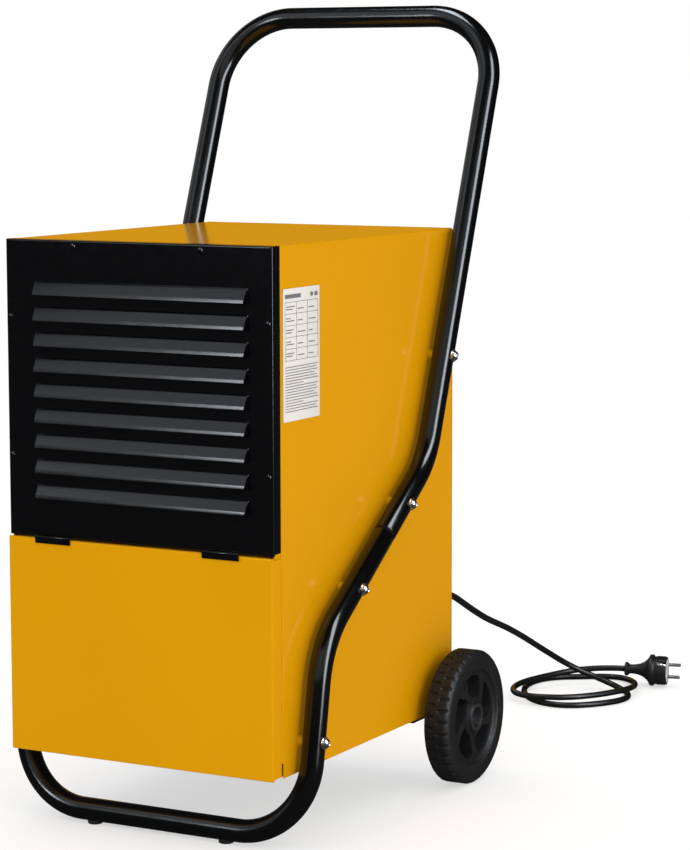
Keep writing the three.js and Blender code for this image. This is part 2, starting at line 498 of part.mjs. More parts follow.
// ------------------------------------------------------------- the mains lead
{
  const [cx, cz] = CORD_EXIT;
  const y = CAB_D;
  // Strain relief: a collar against the panel and a tapered sleeve behind it.
  add('cord_strain_relief', turned('y', [[0, y - 4], [7.8, y - 4], [7.8, y + 0.4], [12.5, y + 0.4], [12.5, y + 4.5], [8.6, y + 6], [5.6, y + 34], [0, y + 34]], cx, cz, 20), RUBBER);
  // Coil on the floor: the outer shape of the loops.
  const ring = { x: 126, y: 937, r0: 60, r1: 88, h: 13 };
  add('cord_coil', turned('z', [[ring.r0, 0], [ring.r1, 0], [ring.r1, ring.h], [ring.r0, ring.h], [ring.r0, 0]], ring.x, ring.y, 36), RUBBER);
  const rows = [[cx, y + 34.4, cz], [cx, y + 46, cz], [cx - 1, y + 66, cz - 9], [143, 600, 174], [123, 720, 137], [103, 850, 91], [94, 940, 53], [90.5, 982, 35], [90, 997.5, 28], [90, 1001.6, 21.5], [90, 1001.6, ring.h + 0.35]];
  const path = new THREE.CatmullRomCurve3(rows.map((p) => new THREE.Vector3(...p)), false, 'centripetal');
  const circle = (d, n) => {
    const s = new THREE.Shape();
    for (let i = 0; i < n; i++) {
      const a = (i / n) * Math.PI * 2;
      if (i === 0) s.moveTo((d / 2) * Math.cos(a), (d / 2) * Math.sin(a)); else s.lineTo((d / 2) * Math.cos(a), (d / 2) * Math.sin(a));
    }
    s.closePath();
    return s;
  };
  add('power_cord', new THREE.ExtrudeGeometry(circle(CORD_D, 8), { steps: 34, extrudePath: path, bevelEnabled: false }), RUBBER);
  // The plug lies on the floor, turned a little away from the x axis.
  const turn = Math.atan2(21, 82.2), pz = 23, tail = [166.5, 1038];
  const prof = [[0, 0], [6.5, 0], [9.8, 1.5], [9.8, 5], [6.8, 7], [6.8, 12], [8.5, 22], [12.5, 30], [19, 36.5], [22.6, 37.5], [22.6, 42.5], [20, 43.5], [20, 62], [0, 62]];
  const body = turned('x', prof, 0, 0, 24);
  const roll = 0.62;
  const pins = [-1, 1].map((s) => rod('x', 2.4, 60, 81, s * 9.5 * Math.sin(roll), s * 9.5 * Math.cos(roll), 10));
  const plug = join(body, ...pins);
  add('power_plug', plug.rotateZ(turn).translate(tail[0], tail[1], pz), BLACK_PLASTIC);
  const dir = [Math.cos(turn), Math.sin(turn)];
  const end = [tail[0] - 0.35 * dir[0], tail[1] - 0.35 * dir[1]];
  const tailRows = [[118, 1010.6, ring.h + 0.35], [118, 1010.6, 16.8], [124, 1015, 22], [end[0] - 22 * dir[0], end[1] - 22 * dir[1], pz], [end[0], end[1], pz]];
  const tailPath = new THREE.CatmullRomCurve3(tailRows.map((p) => new THREE.Vector3(...p)), false, 'centripetal');
  add('cord_tail', new THREE.ExtrudeGeometry(circle(CORD_D, 8), { steps: 12, extrudePath: tailPath, bevelEnabled: false }), RUBBER);
}

// ------------------------------------------ origin at the footprint's centre
const bounds = new THREE.Box3();
for (const mesh of model.children) if (!CORD_NAMES.has(mesh.name)) bounds.expandByObject(mesh);
model.position.set(0, -(bounds.min.y + bounds.max.y) / 2, 0);
model.updateMatrixWorld(true);

export default model;
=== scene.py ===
import bpy
import bmesh
import math
from mathutils import Matrix, Vector


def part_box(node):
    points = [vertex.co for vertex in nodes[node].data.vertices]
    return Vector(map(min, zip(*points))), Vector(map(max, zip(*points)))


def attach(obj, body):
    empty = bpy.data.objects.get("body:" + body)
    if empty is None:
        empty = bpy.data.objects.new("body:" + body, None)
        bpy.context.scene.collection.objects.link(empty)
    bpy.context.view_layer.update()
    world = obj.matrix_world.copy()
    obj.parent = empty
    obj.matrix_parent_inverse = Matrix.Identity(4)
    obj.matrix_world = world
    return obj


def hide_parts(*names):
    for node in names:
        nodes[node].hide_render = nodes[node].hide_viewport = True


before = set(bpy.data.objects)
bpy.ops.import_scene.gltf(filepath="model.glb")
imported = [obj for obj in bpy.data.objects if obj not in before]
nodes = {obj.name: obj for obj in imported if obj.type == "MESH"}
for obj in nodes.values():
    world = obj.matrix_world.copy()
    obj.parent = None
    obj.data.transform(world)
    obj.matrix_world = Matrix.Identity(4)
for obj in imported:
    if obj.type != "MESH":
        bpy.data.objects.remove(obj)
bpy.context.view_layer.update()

# The design's own millimetres: x as in the row, y = 0 at the louvred panel's face, z = 0 on the floor.
# The rear panel's back face stands at y = 447 there.
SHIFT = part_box("rear_panel")[1].y * 1000 - 447.0


def V(x, y, z):
    return Vector((x / 1000, (y + SHIFT) / 1000, z / 1000))


# ============================================================ camera
scene = bpy.context.scene
cam_data = bpy.data.cameras.new("camera")
cam = bpy.data.objects.new("camera", cam_data)
scene.collection.objects.link(cam)
scene.camera = cam
cam_data.sensor_width = 36
cam_data.lens = 116.83
cam_data.clip_end = 60
AZ, EL, ROLL = math.radians(28.466), math.radians(7.023), math.radians(-0.101)
back = Vector((math.sin(AZ) * math.cos(EL), -math.cos(AZ) * math.cos(EL), math.sin(EL)))
side = Vector((math.cos(AZ), math.sin(AZ), 0))
upv = back.cross(side)
cam_x = side * math.cos(ROLL) + upv * math.sin(ROLL)
cam_y = back.cross(cam_x)
rot = Matrix((cam_x, cam_y, back)).transposed().to_4x4()
cam.matrix_world = Matrix.Translation(V(1684.9, -2613.8, 864.9)) @ rot

scene.view_settings.view_transform = "Standard"
scene.view_settings.look = "None"


# ============================================================ mesh helpers
def link(name, mesh):
    o = bpy.data.objects.new(name, mesh)
    scene.collection.objects.link(o)
    return o


def make(name, verts, faces, mat, angle=35):
    me = bpy.data.meshes.new(name)
    me.from_pydata([tuple(v) for v in verts], [], faces)
    me.validate()
    return dress(link(name, me), mat, angle)


def dress(o, mat, angle=35):
    """Outward normals, smooth shading with sharp edges, and the material."""
    bm = bmesh.new()
    bm.from_mesh(o.data)
    bmesh.ops.remove_doubles(bm, verts=bm.verts, dist=1e-6)
    bmesh.ops.recalc_face_normals(bm, faces=bm.faces)
    bm.to_mesh(o.data)
    bm.free()
    o.data.shade_smooth()
    o.data.set_sharp_from_angle(angle=math.radians(angle))
    o.data.materials.clear()
    o.data.materials.append(mat)
    return o


def apply(o):
    """The object's modifiers, made real."""
    dg = bpy.context.evaluated_depsgraph_get()
    me = bpy.data.meshes.new_from_object(o.evaluated_get(dg), preserve_all_data_layers=True, depsgraph=dg)
    o.modifiers.clear()
    o.data = me
    return o


def bevel(o, width, segments=2, angle=40, weighted=True):
    b = o.modifiers.new("bevel", "BEVEL")
    b.width = width / 1000
    b.segments = segments
    b.limit_method = "ANGLE"
    b.angle_limit = math.radians(angle)
    b.use_clamp_overlap = True
    b.harden_normals = False
    if weighted:
        w = o.modifiers.new("weighted", "WEIGHTED_NORMAL")
        w.keep_sharp = True
        w.weight = 90
    return o


def tidy(o, fill=False):
    """Drops loose points and faces of no area, and closes open ends if asked."""
    bm = bmesh.new()
    bm.from_mesh(o.data)
    bmesh.ops.remove_doubles(bm, verts=bm.verts, dist=2e-6)
    bmesh.ops.dissolve_degenerate(bm, dist=1e-6, edges=bm.edges)
    bmesh.ops.delete(bm, geom=[v for v in bm.verts if not v.link_faces], context="VERTS")
    if fill:
        bmesh.ops.holes_fill(bm, edges=[e for e in bm.edges if e.is_boundary], sides=0)
        bmesh.ops.recalc_face_normals(bm, faces=bm.faces)
    bm.to_mesh(o.data)
    bm.free()
    o.data.update()
    return o


def join(objs, name=None):
    """One object out of several; the first keeps its name and all keep their materials."""
    base = objs[0]
    for o in objs:
        if o.modifiers:
            apply(o)
    bm = bmesh.new()
    mats = []
    for o in objs:
        first = len(bm.faces)
        m = o.data.copy()
        m.transform(o.matrix_world)
        slots = list(o.data.materials)
        idx = []
        for s in slots:
            if s not in mats:
                mats.append(s)
            idx.append(mats.index(s))
        bm.from_mesh(m)
        bm.faces.ensure_lookup_table()
        for f in bm.faces[first:]:
            f.material_index = idx[f.material_index] if idx else 0
        bpy.data.meshes.remove(m)
    me = bpy.data.meshes.new(name or base.name)
    bm.to_mesh(me)
    bm.free()
    for m in mats:
        me.materials.append(m)
    for o in objs:
        bpy.data.objects.remove(o)
    return link(name or me.name, me)


def boxmesh(name, x0, x1, y0, y1, z0, z1, mat, r=0.4, seg=2):
    """A block with rounded edges, in design millimetres."""
    bm = bmesh.new()
    v = [bm.verts.new(V(x, y, z)) for x in (x0, x1) for y in (y0, y1) for z in (z0, z1)]
    for f in ((0, 1, 3, 2), (4, 6, 7, 5), (0, 4, 5, 1), (2, 3, 7, 6), (0, 2, 6, 4), (1, 5, 7, 3)):
        bm.faces.new([v[i] for i in f])
    bmesh.ops.recalc_face_normals(bm, faces=bm.faces)
    if r:
        bmesh.ops.bevel(bm, geom=bm.edges[:], offset=r / 1000, segments=seg, profile=0.5, affect="EDGES", clamp_overlap=True)
    me = bpy.data.meshes.new(name)
    bm.to_mesh(me)
    bm.free()
    return dress(link(name, me), mat, 50)


AX = {
    "x": (Vector((1, 0, 0)), Vector((0, 1, 0)), Vector((0, 0, 1))),
    "y": (Vector((0, 1, 0)), Vector((0, 0, 1)), Vector((1, 0, 0))),
    "z": (Vector((0, 0, 1)), Vector((1, 0, 0)), Vector((0, 1, 0))),
}


def lathe(name, profile, origin, axis, mat, seg=48, angle=35, closed=False, basis=None):
    """Turned solid. profile is [radius, height] in mm along the axis from origin (a row-frame point).
    A radius of 0 closes on the axis; closed joins the last point to the first."""
    a, u, v = basis or AX[axis]
    verts, rings, faces = [], [], []
    for r, h in profile:
        if r <= 1e-6:
            rings.append([len(verts)] * seg)
            verts.append(origin + a * (h / 1000))
        else:
            start = len(verts)
            for i in range(seg):
                t = 2 * math.pi * i / seg
                verts.append(origin + a * (h / 1000) + (u * math.cos(t) + v * math.sin(t)) * (r / 1000))
            rings.append(list(range(start, start + seg)))
    n = len(rings)
    pairs = [(i, i + 1) for i in range(n - 1)] + ([(n - 1, 0)] if closed else [])
    for p, q in pairs:
        for i in range(seg):
            j = (i + 1) % seg
            quad = [rings[p][i], rings[p][j], rings[q][j], rings[q][i]]
            face = []
            for k in quad:
                if k not in face:
                    face.append(k)
            if len(face) > 2:
                faces.append(face)
    return make(name, verts, faces, mat, angle)


def plate(name, outlines, place, thick, mat, edge=0.25, angle=35, res=6):
    """A flat sheet with holes. outlines are lists of (u, v) in mm, the first one outside; place maps (u, v, w) to the row frame."""
    cu = bpy.data.curves.new(name, "CURVE")
    cu.dimensions = "2D"
    cu.fill_mode = "BOTH"
    cu.extrude = max(thick / 2 - edge, 0.01) / 1000
    cu.bevel_depth = edge / 1000
    cu.bevel_resolution = 1
    cu.offset = -edge / 1000
    for pts in outlines:
        s = cu.splines.new("POLY")
        s.points.add(len(pts) - 1)
        for i, (x, y) in enumerate(pts):
            s.points[i].co = (x / 1000, y / 1000, 0, 1)
        s.use_cyclic_u = True
    tmp = bpy.data.objects.new(name + "_c", cu)
    me = bpy.data.meshes.new_from_object(tmp)
    bpy.data.objects.remove(tmp)
    bpy.data.curves.remove(cu)
    for v in me.vertices:
        v.co = place(v.co.x * 1000, v.co.y * 1000, v.co.z * 1000)
    o = link(name, me)
    me.materials.clear()
    return dress(o, mat, angle)


def rrect(x0, x1, y0, y1, r, n=5):
    pts = []
    for cx, cy, a in ((x1 - r, y0 + r, -90), (x1 - r, y1 - r, 0), (x0 + r, y1 - r, 90), (x0 + r, y0 + r, 180)):
        for i in range(n + 1):
            t = math.radians(a + 90 * i / n)
            pts.append((cx + r * math.cos(t), cy + r * math.sin(t)))
    return pts


def circle(cx, cy, r, n=24):
    return [(cx + r * math.cos(2 * math.pi * i / n), cy + r * math.sin(2 * math.pi * i / n)) for i in range(n)]


def bent(corners, radii, degrees=3):
    """Points and tangents down a tube of straight runs and circular bends, in design mm."""
    P = [Vector(c) for c in corners]
    out = [(P[0].copy(), (P[1] - P[0]).normalized())]
    for i in range(1, len(P) - 1):
        a = (P[i] - P[i - 1]).normalized()
        b = (P[i + 1] - P[i]).normalized()
        turn = math.acos(max(-1, min(1, a.dot(b))))
        r = radii[i - 1]
        start = P[i] - a * (r * math.tan(turn / 2))
        inward = (b - a * a.dot(b)).normalized()
        centre = start + inward * r
        n = max(4, round(math.degrees(turn) / degrees))
        for k in range(n + 1):
            w = turn * k / n
            out.append((centre - inward * (r * math.cos(w)) + a * (r * math.sin(w)), a * math.cos(w) + inward * math.sin(w)))
    out.append((P[-1].copy(), (P[-1] - P[-2]).normalized()))
    return out


def tube(name, path, radius, mat, sides=40, ends=None, squash=None, start_normal=None):
    """A round tube along (point, tangent) pairs in design mm; ends are [radius scale, offset] pairs that round each end."""
    verts, faces, rings = [], [], []
    n = start_normal or Vector((0, 0, 1))
    t0 = path[0][1]
    n = (n - t0 * n.dot(t0))
    if n.length < 1e-3:
        n = Vector((1, 0, 0)) - t0 * t0.x
    n.normalize()
    ends = ends or [(0.90, 0.0), (0.975, 0.35), (1.0, 1.2)]
    seq = []
    p, t = path[0]
    seq += [(p + t * d, t, s) for s, d in ends]
    seq += [(p, t, 1.0) for p, t in path[1:-1]]
    p, t = path[-1]
    seq += [(p - t * d, t, s) for s, d in reversed(ends)]
    for p, t, s in seq:
        n = (n - t * n.dot(t)).normalized()
        b = t.cross(n)
        ring = []
        for i in range(sides):
            a = 2 * math.pi * i / sides
            q = p + (n * math.cos(a) + b * math.sin(a)) * radius * s
            ring.append(len(verts))
            verts.append(V(*q))
        rings.append(ring)
    for r0, r1 in zip(rings, rings[1:]):
        for i in range(sides):
            j = (i + 1) % sides
            faces.append([r0[i], r0[j], r1[j], r1[i]])
    faces.append(rings[0][::-1])
    faces.append(rings[-1])
    return make(name, verts, faces, mat, 50)


# ============================================================ materials
def material(name, color, rough, metal=0.0, spec=0.5, coat=0.0, coat_rough=0.1, vary=0.06, vary_scale=6.0,
             rough_vary=0.08, rough_scale=40.0, bump=0.0, bump_scale=900.0, bump_detail=2.0, sheen=0.0, transmission=0.0,
             ior=1.5, tint=None, edge=0.0, edge_color=(0.5, 0.5, 0.5), dust=0.0, subsurface=0.0):
    m = bpy.data.materials.new(name)
    m.use_nodes = True
    nt = m.node_tree
    nt.nodes.clear()
    out = nt.nodes.new("ShaderNodeOutputMaterial")
    b = nt.nodes.new("ShaderNodeBsdfPrincipled")
    nt.links.new(b.outputs[0], out.inputs[0])
    b.inputs["Metallic"].default_value = metal
    b.inputs["IOR"].default_value = ior
    b.inputs["Specular IOR Level"].default_value = spec
    b.inputs["Coat Weight"].default_value = coat
    b.inputs["Coat Roughness"].default_value = coat_rough
    b.inputs["Transmission Weight"].default_value = transmission
    b.inputs["Sheen Weight"].default_value = sheen
    if tint:
        b.inputs["Specular Tint"].default_value = (*tint, 1)
    if subsurface:
        b.inputs["Subsurface Weight"].default_value = subsurface
        b.inputs["Subsurface Radius"].default_value = (0.004, 0.004, 0.004)
    tc = nt.nodes.new("ShaderNodeTexCoord")
    # broad, faint change of tone over the surface
    n1 = nt.nodes.new("ShaderNodeTexNoise")
    n1.inputs["Scale"].default_value = vary_scale
    n1.inputs["Detail"].default_value = 4
    nt.links.new(tc.outputs["Object"], n1.inputs["Vector"])
    r1 = nt.nodes.new("ShaderNodeValToRGB")
    lo = [c * (1 - vary) for c in color]
    hi = [min(1, c * (1 + vary)) for c in color]
    r1.color_ramp.elements[0].position = 0.3
    r1.color_ramp.elements[0].color = (*lo, 1)
    r1.color_ramp.elements[1].position = 0.7
    r1.color_ramp.elements[1].color = (*hi, 1)
    nt.links.new(n1.outputs["Fac"], r1.inputs[0])
    col = r1.outputs[0]
    if edge:
        geo = nt.nodes.new("ShaderNodeNewGeometry")
        er = nt.nodes.new("ShaderNodeValToRGB")
        er.color_ramp.elements[0].position = 0.52
        er.color_ramp.elements[0].color = (0, 0, 0, 1)
        er.color_ramp.elements[1].position = 0.60
        er.color_ramp.elements[1].color = (edge, edge, edge, 1)
        nt.links.new(geo.outputs["Pointiness"], er.inputs[0])
        mix = nt.nodes.new("ShaderNodeMixRGB")
        nt.links.new(er.outputs[0], mix.inputs[0])
        nt.links.new(col, mix.inputs[1])
        mix.inputs[2].default_value = (*edge_color, 1)
        col = mix.outputs[0]
    nt.links.new(col, b.inputs["Base Color"])
    # roughness
    n2 = nt.nodes.new("ShaderNodeTexNoise")
    n2.inputs["Scale"].default_value = rough_scale
    n2.inputs["Detail"].default_value = 5
    nt.links.new(tc.outputs["Object"], n2.inputs["Vector"])
    mr = nt.nodes.new("ShaderNodeMapRange")
    mr.inputs["From Min"].default_value = 0.3
    mr.inputs["From Max"].default_value = 0.7
    mr.inputs["To Min"].default_value = max(0.02, rough - rough_vary / 2)
    mr.inputs["To Max"].default_value = min(1, rough + rough_vary / 2)
    nt.links.new(n2.outputs["Fac"], mr.inputs["Value"])
    nt.links.new(mr.outputs[0], b.inputs["Roughness"])
    if bump:
        n3 = nt.nodes.new("ShaderNodeTexNoise")
        n3.inputs["Scale"].default_value = bump_scale
        n3.inputs["Detail"].default_value = bump_detail
        nt.links.new(tc.outputs["Object"], n3.inputs["Vector"])
        bp = nt.nodes.new("ShaderNodeBump")
        bp.inputs["Strength"].default_value = bump
        bp.inputs["Distance"].default_value = 0.0002
        nt.links.new(n3.outputs["Fac"], bp.inputs["Height"])
        nt.links.new(bp.outputs[0], b.inputs["Normal"])
        if coat:
            nt.links.new(bp.outputs[0], b.inputs["Coat Normal"])
    return m


def srgb(r, g, b):
    f = lambda c: (c / 255 / 12.92) if c / 255 <= 0.04045 else ((c / 255 + 0.055) / 1.055) ** 2.4
    return (f(r), f(g), f(b))


YELLOW = material("yellow_powder_coat", (0.65, 0.298, 0.0022), 0.13, spec=0.30, tint=(1.0, 0.74, 0.10), vary=0.02, vary_scale=5, rough_vary=0.03,
                  rough_scale=60, bump=0.045, bump_scale=420)
BLACK = material("black_powder_coat", srgb(6, 6, 8), 0.15, spec=0.5, vary=0.10, vary_scale=8, rough_vary=0.04,
                 rough_scale=80, bump=0.03, bump_scale=900)
TUBE = material("black_gloss_tube", srgb(8, 9, 10), 0.16, spec=0.5, vary=0.1, vary_scale=12, rough_vary=0.05,
                rough_scale=50, bump=0.05, bump_scale=600)
GALV = material("galvanised_sheet", (0.52, 0.54, 0.56), 0.42, metal=1, vary=0.10, vary_scale=90, rough_vary=0.16,
                rough_scale=70, bump=0.05, bump_scale=300)
ALU = material("aluminium", (0.72, 0.73, 0.75), 0.33, metal=1, vary=0.05, vary_scale=40, rough_vary=0.12, rough_scale=120, bump=0.04)
COPPER = material("copper_pipe", (0.72, 0.36, 0.22), 0.27, metal=1, vary=0.14, vary_scale=60, rough_vary=0.18, rough_scale=90, bump=0.03)
STEEL = material("zinc_plated_steel", (0.80, 0.82, 0.84), 0.20, metal=1, vary=0.05, vary_scale=120, rough_vary=0.10, rough_scale=300, bump=0.03)
WHEEL = material("wheel_plastic", srgb(25, 25, 27), 0.52, spec=0.35, vary=0.16, vary_scale=45, rough_vary=0.14,
                 rough_scale=160, bump=0.22, bump_scale=1400, bump_detail=4, edge=0.35, edge_color=srgb(82, 82, 84))
PLASTIC = material("black_plastic", srgb(24, 24, 26), 0.42, spec=0.4, vary=0.10, vary_scale=60, rough_vary=0.10,
                   rough_scale=200, bump=0.14, bump_scale=1800, bump_detail=3)
CORD = material("cord_sheath", srgb(17, 17, 18), 0.36, spec=0.45, vary=0.12, vary_scale=70, rough_vary=0.12, rough_scale=260,
                bump=0.10, bump_scale=1500, bump_detail=3)
RUBBER = material("rubber", srgb(28, 28, 29), 0.66, spec=0.3, vary=0.14, vary_scale=90, rough_vary=0.12, rough_scale=200, bump=0.2, bump_scale=1600)
TANKMAT = material("tank_plastic", (0.80, 0.82, 0.80), 0.36, spec=0.45, vary=0.03, vary_scale=9, rough_vary=0.10, rough_scale=60,
                   bump=0.06, bump_scale=500, subsurface=0.25)
FOAM = material("filter_foam", srgb(62, 65, 68), 0.95, spec=0.1, vary=0.5, vary_scale=900, rough_vary=0.05, bump=0.9, bump_scale=900, bump_detail=2)
LABEL = material("label_film", (0.70, 0.70, 0.675), 0.42, spec=0.35, vary=0.015, vary_scale=20, rough_vary=0.08, rough_scale=120, bump=0.03, bump_scale=600)
LAMP = material("red_lamp", (0.62, 0.02, 0.012), 0.16, spec=0.5, vary=0.08, vary_scale=200, rough_vary=0.05, rough_scale=200,
                bump=0.03, coat=0.4, coat_rough=0.05)
PIN = material("plug_pin", (0.74, 0.74, 0.73), 0.24, metal=1, vary=0.06, vary_scale=200, rough_vary=0.12, rough_scale=400, bump=0.03)
PALE = material("pale_insert", srgb(196, 196, 192), 0.45, spec=0.4, vary=0.04, vary_scale=120, rough_vary=0.1, rough_scale=200, bump=0.06)
DARK = material("dark_recess", srgb(8, 8, 9), 0.7, spec=0.2, vary=0.2, vary_scale=60, bump=0.1)


def put(o, body, slot, *replaced):
    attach(o, body)
    if replaced:
        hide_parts(*replaced)
    return o


# ============================================================ the mains lead
ROUTE = [
    (150.0,449.0,224.0),(150.0,460.1,224.0),(150.0,471.1,224.1),(149.9,482.2,223.5),(149.6,492.9,220.7),(149.1,503.4,217.4),(148.5,513.8,213.6),(147.9,524.0,209.3),(147.3,534.1,204.8),(146.7,544.1,200.2),(146.1,554.2,195.7),(145.6,564.3,191.1),(145.0,574.4,186.6),(144.3,584.6,182.3),(143.4,594.8,178.1),(142.3,605.0,174.0),(140.9,615.3,170.2),(139.4,625.6,166.5),(137.7,636.0,163.0),(135.9,646.4,159.6),(134.1,656.8,156.3),(132.3,667.2,153.0),(130.4,677.6,149.8),(128.6,688.1,146.6),(126.8,698.5,143.4),(124.9,708.9,140.1),(123.1,719.4,136.8),(121.3,729.8,133.5),(119.5,740.1,130.1),(117.7,750.5,126.6),(115.9,760.8,123.1),(114.2,771.2,119.6),(112.5,781.5,116.0),(110.9,791.8,112.3),(109.3,802.2,108.6),(107.8,812.5,104.8),(106.4,822.7,101.0),(105.0,833.0,97.1),(103.6,843.3,93.2),(102.3,853.6,89.3),(101.0,863.8,85.3),(99.9,874.0,81.2),(98.9,884.3,77.1),(98.0,894.5,73.0),(97.4,904.7,68.7),(97.0,914.9,64.4),(97.0,925.1,60.0),(97.4,935.1,55.4),(98.7,944.9,50.4),(101.3,954.3,45.1),(105.8,962.7,39.6),(112.0,970.1,34.2),(119.3,976.6,29.0),(127.3,982.6,24.2),(136.1,987.6,19.8),(146.0,990.3,15.8),(156.5,990.5,12.5),(167.1,988.6,9.7),(177.3,985.0,7.4),(186.8,979.6,5.8),(195.1,972.4,4.9),(202.0,963.8,4.4),(207.1,954.0,4.3),(210.2,943.4,4.2),(210.8,932.4,4.2),(209.2,921.4,4.2),(205.7,911.0,4.2),(200.7,901.1,4.2),(194.8,891.7,4.2),(188.3,882.8,4.2),(181.2,874.3,4.2),(173.3,866.5,4.2),(164.5,859.8,4.2),(154.6,854.9,4.2),(143.8,852.3,4.2),(132.8,852.1,4.2),(122.0,854.2,4.2),(111.7,858.2,4.2),(102.2,863.9,4.2),(93.6,870.8,4.2),(85.9,878.8,4.2),(79.0,887.4,4.2),(72.8,896.6,4.2),(67.2,906.2,4.2),(62.4,916.1,4.2),(58.2,926.4,4.2),(54.9,936.9,4.2),(52.5,947.8,4.2),(51.1,958.7,4.2),(50.8,969.8,4.2),(51.8,980.8,4.2),(54.3,991.6,4.2),(58.4,1001.8,4.2),(64.4,1011.1,4.2),(71.9,1019.2,4.2),(80.5,1026.2,4.2),(89.7,1032.4,4.2),(99.0,1038.4,4.2),(108.3,1044.4,4.2),(117.8,1050.2,4.2),(127.7,1055.1,4.2),(138.3,1058.1,4.2),(149.3,1057.9,4.4),(159.7,1054.3,4.6),(168.8,1048.0,5.0),(176.4,1040.1,5.5),(183.0,1031.2,6.3),(188.5,1021.7,7.2),(193.4,1011.8,8.3),(197.6,1001.6,9.5),(201.2,991.2,10.7),(204.1,980.6,11.8),(206.1,969.7,12.8),(206.7,958.7,13.4),(205.6,947.7,13.8),(202.5,937.1,13.8),(198.0,927.0,13.7),(192.7,917.3,13.4),(186.8,907.9,13.2),(180.6,898.8,13.0),(174.0,889.9,13.0),(166.9,881.4,12.9),(159.2,873.4,12.9),(150.7,866.3,12.9),(141.5,860.2,12.9),(131.5,855.4,13.1),(121.0,852.0,13.1),(110.1,850.5,12.9),(99.0,851.4,12.5),(88.6,854.8,12.1),(79.1,860.4,11.7),(70.8,867.7,11.4),(64.0,876.4,11.4),(58.9,886.3,11.5),(55.8,896.9,12.0),(54.7,907.8,12.5),(55.4,918.9,13.1),(57.4,929.7,13.7),(60.4,940.4,14.2),(64.0,950.8,14.6),(68.2,961.1,15.1),(73.0,971.0,15.6),(78.2,980.8,16.3),(83.9,990.2,17.1),(90.4,999.1,18.0),(97.9,1007.2,19.0),(106.5,1014.1,20.1),(115.9,1019.8,21.0),(125.9,1024.6,21.8),(136.1,1028.8,22.4),(146.5,1032.5,22.8),(157.0,1035.9,23.0),(167.8,1038.5,23.0),
]
CORD_D = 8.4


def spline_points(rows, n=3):
    """Catmull-Rom through the rows, n steps between two of them."""
    P = [Vector(r) for r in rows]
    out = []
    for i in range(len(P) - 1):
        a, b, c, d = P[max(i - 1, 0)], P[i], P[i + 1], P[min(i + 2, len(P) - 1)]
        for k in range(n):
            t = k / n
            out.append(0.5 * (2 * b + (c - a) * t + (2 * a - 5 * b + 4 * c - d) * t * t + (3 * b - a - 3 * c + d) * t ** 3))
    out.append(P[-1])
    return out


cord_line = spline_points(ROUTE)
cu = bpy.data.curves.new("mains_lead", "CURVE")
cu.dimensions = "3D"
cu.bevel_depth = CORD_D / 2000
cu.bevel_resolution = 6
cu.use_fill_caps = True
sp = cu.splines.new("POLY")
sp.points.add(len(cord_line) - 1)
for i, p in enumerate(cord_line):
    sp.points[i].co = (*V(*p), 1)
sp.use_smooth = True
lead = bpy.data.objects.new("mains_lead", cu)
scene.collection.objects.link(lead)
cu.materials.append(CORD)

# Strain relief: a flanged collar on the panel and a tapered sleeve with rings.
prof = [(4.35, 33.6), (5.3, 34.0), (5.7, 33.4)]
for k in range(6):
    h = 30.5 - k * 4.0
    r = 5.8 + (34 - h) * 0.095
    prof += [(r, h + 1.2), (r, h - 0.9), (r - 0.75, h - 1.3), (r - 0.7, h - 2.2)]
prof += [(8.9, 6.4), (9.6, 5.6), (11.8, 5.2), (12.3, 4.7), (12.5, 4.0), (12.5, 0.9), (12.2, 0.4), (7.8, 0.4), (7.8, -3.6), (7.4, -4.0), (4.35, -4.0)]
relief = lathe("lead_strain_relief", prof, V(150, 447, 224), "y", RUBBER, 40, 40, closed=True)
put(relief, "cabinet", "rubber", "cord_strain_relief")

# Plug, built along +x and then turned into place.
PLUG_TURN, PLUG_ROLL, PLUG_TAIL = math.atan2(21, 82.2), 0.62, V(166.5, 1038, 23)
O = Vector((0, 0, 0))
body_prof = [(4.3, 0.6), (6.2, 0.2), (6.6, 0.0), (8.8, 0.5), (9.8, 1.6), (10.0, 3.2), (9.7, 4.8), (8.3, 6.2), (7.0, 7.2), (6.7, 9.0),
             (6.8, 12.5), (7.5, 18), (8.8, 23), (11.0, 27.6), (14.2, 31.8), (17.6, 34.8), (20.6, 36.4), (22.2, 37.2), (22.6, 38.0),
             (22.6, 41.8), (22.2, 42.6), (20.8, 43.0), (20.3, 43.6), (20.1, 45), (20.1, 61.0), (19.8, 61.7), (19.2, 62.0), (17.6, 62.0),
             (17.4, 61.4), (17.4, 60.6), (0, 60.6)]
pb = lathe("mains_plug", body_prof + [], O, "x", PLASTIC, 64, 32)
insert = lathe("mp_face", [(0, 60.7), (17.3, 60.7), (17.3, 61.6), (16.9, 62.0), (0, 62.0)], O, "x", PALE, 48, 32)
plug_parts = [pb, insert]
for s in (-1, 1):
    c = Vector((0, 0, s * 9.5 / 1000))
    plug_parts.append(lathe("mp_pin", [(0, 61.8), (2.4, 61.8), (2.4, 79.6), (2.1, 80.6), (1.4, 81.0), (0, 81.0)], c, "x", PIN, 20, 32))
    plug_parts.append(lathe("mp_boss", [(2.4, 61.9), (3.4, 61.9), (3.4, 62.5), (3.2, 62.8), (2.4, 62.8)], c, "x", PALE, 24, 32, closed=True))
